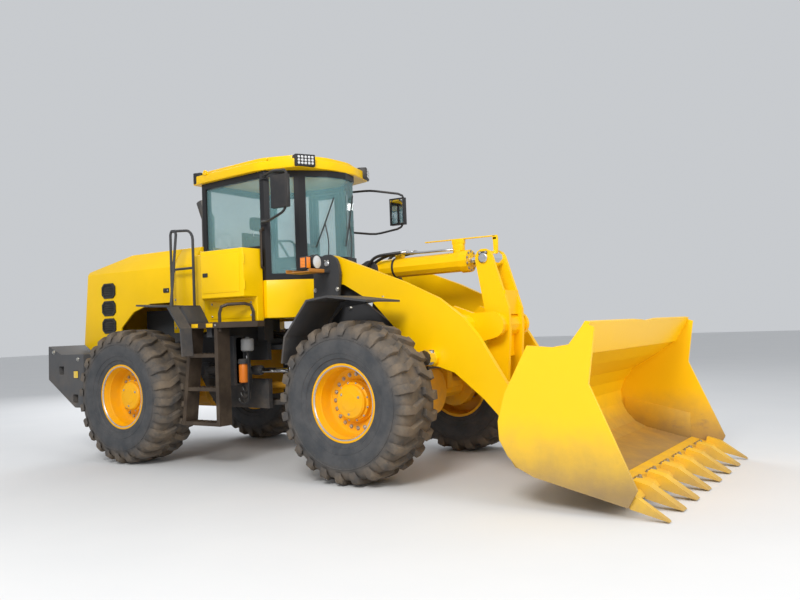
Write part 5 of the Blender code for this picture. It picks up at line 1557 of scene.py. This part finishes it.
@dataclass(frozen=True)
class BoomDetail:
    """The pin ends of the boom, the crank and the bucket."""

    boom_pin: Point = (2.187, 1.167, 0.058)
    crank_pins: Outline = ((2.70, 1.467, 0.070), (2.57, 2.14, 0.050), (2.692, 0.68, 0.046))
    bucket_pin: Point = (3.12, 0.55, 0.055)
    widest: float = 1.0

    def build(self) -> None:
        """Builds each body's pins."""
        form = Form("boom_fittings", "boom", "yellow_paint")
        crank = Form("crank_pins", "bellcrank", "yellow_paint")
        bucket = Form("bucket_pins", "bucket", "yellow_paint")
        for sign in SIGNS:
            x, z, radius = self.boom_pin
            form.pin((x, outer_face("boom", x, z + 0.075, sign), z), sign, radius)
            for x, z, radius in self.crank_pins:
                crank.pin((x, outer_face("bellcrank", x, z + radius * 1.25, sign), z), sign, radius)
            x, z, radius = self.bucket_pin
            face = outer_face("bucket", x, z + 0.07, sign)
            if abs(face) < self.widest:
                bucket.pin((x, face, z), sign, radius)
        for made in (form, crank, bucket):
            made.piece()


@dataclass(frozen=True)
class TiltCylinderDetail:
    """The tilt cylinder's head ring, ports and hoses, and the bar that shows when the bucket is level."""

    centre_z: float = 2.135
    barrel: float = 0.105
    head_x: float = 2.3415
    head_ring: float = 0.096

    def build(self) -> None:
        """Builds the fittings on the barrel and the bar on the rod."""
        form = Form("tilt_cylinder_fittings", "tilt_cylinder", "yellow_paint")
        axis_z = 2.126
        for c, s in circle(10, 0.5):
            form.bolt((self.head_x, self.head_ring * c, 2.139 + self.head_ring * s), ALONG_X, 0.0095)
        for x in (1.46, 2.19):
            form.box((x, 0, self.centre_z + self.barrel + 0.002), (0.085, 0.075, 0.040), Finish.BOOM, 0.006)
        form.lathe([(0.105, 0), (0.112, 0.003), (0.112, 0.022), (0.105, 0.025)], (1.405, 0, axis_z + 0.001),
                   (1, 0, 0.018), Finish.PLASTIC, 40, True)
        form.box((2.20, 0, 2.285), (0.12, 0.060, 0.075), Finish.BOOM, 0.006)
        form.box((2.20, 0, 2.345), (0.14, 0.052, 0.052), Finish.BOOM, 0.006)
        form.tube([(1.50, -0.05, 2.255), (1.56, -0.065, 2.275), (1.80, -0.08, 2.262), (2.05, -0.09, 2.262),
                   (2.17, -0.062, 2.262)], 0.014, Finish.STEEL, 6, 10)
        form.piece()
        bar = Form("level_indicator_bar", "tilt_rod", "yellow_paint")
        bar.box((2.215, 0, 2.372), (0.84, 0.034, 0.012), Finish.BOOM, 0.003)
        bar.box((2.625, 0, 2.355), (0.05, 0.034, 0.046), Finish.BOOM, 0.004)
        bar.slab([(2.610, 2.19), (2.650, 2.19), (2.655, 2.36), (2.605, 2.36)], -0.017, 0.017, Finish.BOOM,
                 0.004)
        bar.piece()


@dataclass(frozen=True)
class Hose:
    """One rubber hose laid between two bodies, with a fitting on each end."""

    name: str
    bodies: tuple[str, str]
    route: tuple
    start: tuple[float, float, float]
    end: tuple[float, float, float]
    radius: float = 0.016

    def build(self) -> None:
        """Builds the hose with a steel ferrule and a nut on each end."""
        form = Form(self.name, self.bodies[0], "lamp_plastic")
        form.tube(self.route, self.radius, Finish.HOSE, 8, 12)
        for near, far in ((self.route[0], self.route[1]), (self.route[-1], self.route[-2])):
            line = (Vector(far) - Vector(near)).normalized()
            r = self.radius
            form.lathe([(0, -0.004), (r * 1.22, -0.002), (r * 1.28, 0.004), (r * 1.28, 0.050),
                        (r * 1.02, 0.058), (r * 0.9, 0.050)], near, line, Finish.STEEL, 16)
            form.lathe([(0, -0.030), (r * 1.35, -0.030), (r * 1.45, -0.026), (r * 1.45, -0.004), (0, -0.004)],
                       near, line, Finish.STEEL, 6)
        self._cross(form)

    def _cross(self, form: Form) -> None:
        """Makes the piece, takes it off its body and bakes its place into the mesh.

        Args:
            form: The piece that takes them.
        """
        made = form.piece()
        world = made.matrix_world.copy()
        made.parent = None
        made.matrix_world = world
        del made["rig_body"]
        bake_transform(made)


def hoses() -> list[Hose]:
    """The hoses over the steering joint and those from the tower to the tilt cylinder.

    Returns:
        Every hose of the machine that shows.
    """
    found = []
    for number, y in enumerate((-0.115, -0.165, 0.130)):
        sign = 1 if y > 0 else -1
        route = ((0.90, y * 1.9, 1.86), (0.96, y * 1.8, 1.95), (1.10, y * 1.3, 2.10),
                 (1.25, y * 1.12, 2.21 + 0.03 * number),
                 (1.42, y * 0.9, 2.27), (1.55 + 0.03 * number, sign * 0.065, 2.285))
        found.append(Hose(f"tilt_hose_{number + 1}", ("front_frame", "tilt_cylinder"), route, (1.05, 0, 2.12),
                          (1.35, 0, 2.12), 0.017))
    for number, (y, rise, drop) in enumerate(((-0.30, 1.50, 0.02), (-0.24, 1.47, 0.05), (-0.18, 1.44, 0.0),
                                              (0.20, 1.48, 0.03), (0.27, 1.45, 0.0))):
        route = ((-0.46, y, rise), (-0.34, y, rise + 0.01), (-0.16, y * 1.05, rise - drop),
                 (0.0, y * 1.10, rise - 0.03 - drop),
                 (0.16, y * 1.05, rise - drop), (0.34, y, rise + 0.03), (0.44, y, rise + 0.06))
        found.append(Hose(f"steering_hose_{number + 1}", ("rear_frame", "front_frame"), route,
                          (-0.22, 0, 1.4), (0.22, 0, 1.4), 0.015))
    return found


# ---- under the platform


@dataclass(frozen=True)
class PlatformDetail:
    """Stud plates, step treads, battery box, filter, tank and lines beside the rear frame."""

    deck_top: float = 1.6020
    edge_z: float = 1.570
    battery_x: float = -0.385
    filter_x: float = -0.185
    filter_y: float = 0.785
    tank_x: float = -0.100
    tank_y: float = 0.800

    def _treads(self, form: Form, sign: int) -> None:
        """Raised bars on the platform and the steps, and the two blank plates on its edge.

        Args:
            form: The piece that takes them.
            sign: 1 for the left side, -1 for the right.
        """
        for row in range(5):
            for column in range(9):
                spot = (-0.66 + column * 0.060, sign * (0.90 + row * 0.062), self.deck_top)
                turn = Matrix.Rotation(math.radians(45 if (row + column) % 2 else -45), 3, "Z")
                form.box(spot, (0.036, 0.009, 0.005), Finish.RAIL, 0.0015, turn)
        for height, left in ((1.24, -0.64), (0.87, -0.69), (0.49, -0.745)):
            for k in range(7):
                x = left + 0.06 + k * ((-0.22 - left) / 7)
                for y in (1.04, 1.09, 1.14):
                    form.box((x, sign * y, height + 0.0225), (0.010, 0.030, 0.006), Finish.RAIL, 0.002)
        for x in (-0.50, -0.27):
            form.box((x, sign * 1.2005, self.edge_z), (0.100, 0.004, 0.042), Finish.PLATE, 0.001)
        for x in (-0.66, -0.18):
            form.bolt((x, sign * 1.199, self.edge_z), (0, sign, 0), 0.009)

    def _service(self, form: Form, sign: int) -> None:
        """The battery box, filter, bracket plate, tank and their lines, outside the steering cylinder.

        Args:
            form: The piece that takes them.
            sign: 1 for the left side, -1 for the right.
        """
        form.box((self.battery_x, sign * 0.772, 1.165), (0.270, 0.130, 0.540), Finish.TANK, 0.012)
        form.box((self.battery_x, sign * 0.834, 1.165), (0.225, 0.010, 0.480), Finish.TANK, 0.004)
        form.box((self.battery_x, sign * 0.842, 1.330), (0.070, 0.012, 0.030), Finish.PLASTIC, 0.004)
        for x in (-0.475, -0.295):
            for z in (0.955, 1.375):
                form.bolt((x, sign * 0.8385, z), (0, sign, 0), 0.009)
        form.slab([(-0.255, 0.66), (-0.150, 0.74), (-0.140, 1.38), (-0.255, 1.41)], sign * 0.712,
                  sign * 0.722, Finish.FRAME, 0.003)
        form.lathe([(0, 0), (0.040, 0.0), (0.052, 0.010), (0.052, 0.195), (0.046, 0.205), (0.046, 0.212),
                    (0, 0.212)],
                   (self.filter_x, sign * self.filter_y, 0.915), ALONG_Z, Finish.FILTER, 32)
        form.lathe([(0, 0), (0.058, 0), (0.060, 0.010), (0.060, 0.045), (0.045, 0.055), (0, 0.055)],
                   (self.filter_x, sign * self.filter_y, 1.128), ALONG_Z, Finish.FRAME, 32)
        form.box((-0.200, sign * 0.740, 1.155), (0.060, 0.050, 0.040), Finish.FRAME, 0.004)
        form.lathe([(0, 0), (0.060, 0.0), (0.072, 0.012), (0.072, 0.128), (0.060, 0.140), (0.024, 0.142),
                    (0.024, 0.156), (0, 0.158)], (self.tank_x, sign * self.tank_y, 1.270), ALONG_Z,
                   Finish.TANK, 32)
        form.box((-0.155, sign * 0.755, 1.300), (0.080, 0.080, 0.012), Finish.FRAME, 0.003)
        for k, (low, high) in enumerate(((0.86, 1.10), (0.80, 1.20), (0.74, 1.28))):
            y = sign * (0.740 + 0.030 * k)
            form.tube([(-0.250, y, low), (-0.225, y, low - 0.04), (-0.175 + 0.02 * k, y, low - 0.05),
                       (-0.120 + 0.010 * k, y, low + 0.05), (-0.115 + 0.010 * k, y, high - 0.08),
                       (-0.130, y, high)],
                      0.012, Finish.HOSE, 6, 10)
            form.lathe([(0, 0), (0.016, 0), (0.016, 0.03), (0, 0.03)], (-0.130, y, high - 0.012),
                       (-0.2, 0, 1), Finish.STEEL, 6)

    def build(self) -> None:
        """Builds the treads and the service parts of both sides."""
        for side in SIDES:
            sign = side_sign(side)
            treads = Form(f"platform_treads_{side}", "rear_frame", "frame_paint")
            self._treads(treads, sign)
            treads.piece()
            service = Form(f"service_parts_{side}", "rear_frame", "frame_paint")
            self._service(service, sign)
            service.piece()


@dataclass(frozen=True)
class AxleDetail:
    """The bolts round each end of an axle's casting."""

    name: str
    body: str
    centre_x: float
    hub_z: float = 0.78
    ring: float = 0.205
    count: int = 12
    clear: float = 0.14

    def build(self) -> None:
        """Builds the brake housings' bolts, where the casting leaves room for them."""
        form = Form(f"{self.name}_fittings", self.body, "axle_paint")
        for sign in SIGNS:
            for c, s in circle(self.count):
                x, z = self.centre_x + self.ring * c, self.hub_z + self.ring * s
                if abs(z - self.hub_z) > self.clear or abs(x - self.centre_x) > self.clear:
                    form.bolt((x, outer_face(self.name, x, z, sign), z), (0, sign, 0), 0.012)
        form.piece()


# ---- camera, light and floor


@dataclass(frozen=True)
class Studio:
    """A pale floor, soft lights and the camera."""

    eye: tuple[float, float, float] = (6.309, -7.348, 1.497)
    azimuth: float = 33.54
    elevation: float = -1.79
    roll: float = -2.10
    lens: float = 36.17
    clip_end: float = 200.0
    sky_strength: float = 0.62
    floor_reach: float = 60.0
    key_power: float = 1000.0
    front_power: float = 420.0
    back_power: float = 600.0

    def camera(self) -> None:
        """Places the camera."""
        a, e, r = (math.radians(angle) for angle in (self.azimuth, self.elevation, self.roll))
        look = Vector((-math.sin(a) * math.cos(e), math.cos(a) * math.cos(e), -math.sin(e)))
        right = Vector((math.cos(a), math.sin(a), 0))
        top = right.cross(look)
        across = right * math.cos(r) + top * math.sin(r)
        upward = top * math.cos(r) - right * math.sin(r)
        data = bpy.data.cameras.new("view")
        data.lens = self.lens
        data.clip_end = self.clip_end
        made = bpy.data.objects.new("view", data)
        turn = Matrix((across, upward, -look)).transposed().to_4x4()
        made.matrix_world = Matrix.Translation(Vector(self.eye) + PIVOT) @ turn
        bpy.context.scene.collection.objects.link(made)
        bpy.context.scene.camera = made

    def lamp(self, name: str, spot: Point, target: Point, size: float, power: float, tint: Point) -> None:
        """One soft square light aimed at a point.

        Args:
            name: Its name.
            spot: Where it stands.
            target: What it lights.
            size: The length of its side.
            power: Its strength in watts.
            tint: Its colour.
        """
        data = bpy.data.lights.new(name, "AREA")
        data.shape = "SQUARE"
        data.size = size
        data.energy = power
        data.color = tint
        made = bpy.data.objects.new(name, data)
        made.location = Vector(spot)
        made.rotation_euler = (Vector(target) - Vector(spot)).to_track_quat("-Z", "Y").to_euler()
        bpy.context.scene.collection.objects.link(made)

    def floor(self) -> None:
        """A pale matt floor with a faint mottle."""
        graph = Graph("studio_floor")
        mottle = graph.noise(0.8, 4.0)
        graph.feed("Base Color", graph.mix(mottle, rgba((0.66, 0.67, 0.68)), rgba((0.72, 0.72, 0.72))))
        graph.feed("Roughness", 0.75 + mottle * 0.1)
        mesh = bpy.data.meshes.new("studio_floor")
        corners = [(x * self.floor_reach, y * self.floor_reach, 0) for x,
                   y in ((-1, -1), (1, -1), (1, 1), (-1, 1))]
        mesh.from_pydata(corners, [], [(0, 1, 2, 3)])
        mesh.materials.append(graph.material)
        made = bpy.data.objects.new("studio_floor", mesh)
        bpy.context.scene.collection.objects.link(made)

    def sky(self) -> None:
        """A soft, even surround."""
        world = bpy.data.worlds.new("surround")
        world.use_nodes = True
        back = world.node_tree.nodes["Background"]
        back.inputs["Color"].default_value = (0.93, 0.96, 1.0, 1)
        back.inputs["Strength"].default_value = self.sky_strength
        bpy.context.scene.world = world
        bpy.context.scene.view_settings.view_transform = "Standard"

    def build(self) -> None:
        """Sets up the whole studio."""
        self.camera()
        self.sky()
        self.floor()
        self.lamp("key", (4, -10, 8.5), (0, 0, 1.3), 4.0, self.key_power, (1.0, 0.98, 0.95))
        self.lamp("front", (11, -2, 5.0), (2.0, 0, 1.0), 5.0, self.front_power, (1.0, 1.0, 1.0))
        self.lamp("back", (-9, 7, 7), (0, 0, 1.5), 6.0, self.back_power, (0.97, 0.98, 1.0))


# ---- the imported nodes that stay

NODE_FINISHES: dict[str, Enum] = {
    "boom": Finish.BOOM, "bellcrank": Finish.BOOM, "bucket_link": Finish.BOOM, "bucket": Finish.BUCKET,
    "bucket_edge": Finish.EDGE, "tilt_cylinder": Finish.BOOM, "lift_cylinder": Finish.BOOM,
    "steering_cylinder": Finish.FRAME, "rod": Finish.CHROME, "front_cowl": Finish.BODY,
    "engine_hood": Finish.BODY,
    "side_box": Finish.BODY, "cab_base": Finish.CAB, "cab_roof": Finish.CAB, "front_frame": Finish.FRAME,
    "front_fender": Finish.FENDER, "rear_frame": Finish.FRAME, "rear_fender": Finish.FENDER,
    "counterweight": Finish.BALLAST, "access_ladder": Finish.RAIL, "cab_frame": Finish.CAB_TRIM,
    "door_left": Finish.CAB_TRIM, "front_axle": Finish.AXLE, "rear_axle": Finish.AXLE,
    "transmission": Finish.AXLE,
    "engine_block": Finish.ENGINE, "exhaust_stack": Finish.EXHAUST, "headlamp": Finish.PLASTIC,
    "mirror": Finish.PLASTIC, "steering_column": Finish.INTERIOR, "operator_seat": Finish.SEAT,
    "glass": Finish.GLASS,
    "windscreen": Finish.GLASS, "rim": Finish.RIM, "tyre": Finish.HOSE,
}


def finish_of(node: str) -> Enum:
    """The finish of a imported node, by the longest key that its name holds."""
    keys = [key for key in NODE_FINISHES if key in node]
    return NODE_FINISHES[max(keys, key=len)]


def dress_nodes() -> None:
    """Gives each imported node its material."""
    for name, node in frame["nodes"].items():
        node.data.materials.clear()
        node.data.materials.append(material_of(finish_of(name)))


def main() -> None:
    """Builds every piece, then the studio."""
    logging.basicConfig(level=logging.INFO, format="%(name)s %(message)s")
    Studio().build()
    dress_nodes()
    for end, centre_x in (("front", WHEEL_X), ("rear", -WHEEL_X)):
        for side in SIDES:
            Wheel(end, side, centre_x).build()
    BucketDetail().build()
    HoodDetail().build()
    CounterweightDetail().build()
    CabDetail().build()
    OperatorSeat().build()
    for side in SIDES:
        Headlamp(side).build()
    FrontFrameDetail().build()
    BoomDetail().build()
    TiltCylinderDetail().build()
    for hose in hoses():
        hose.build()
    PlatformDetail().build()
    AxleDetail("front_axle", "front_frame", WHEEL_X).build()
    AxleDetail("rear_axle", "rear_frame", -WHEEL_X).build()


if __name__ == "__main__":
    main()
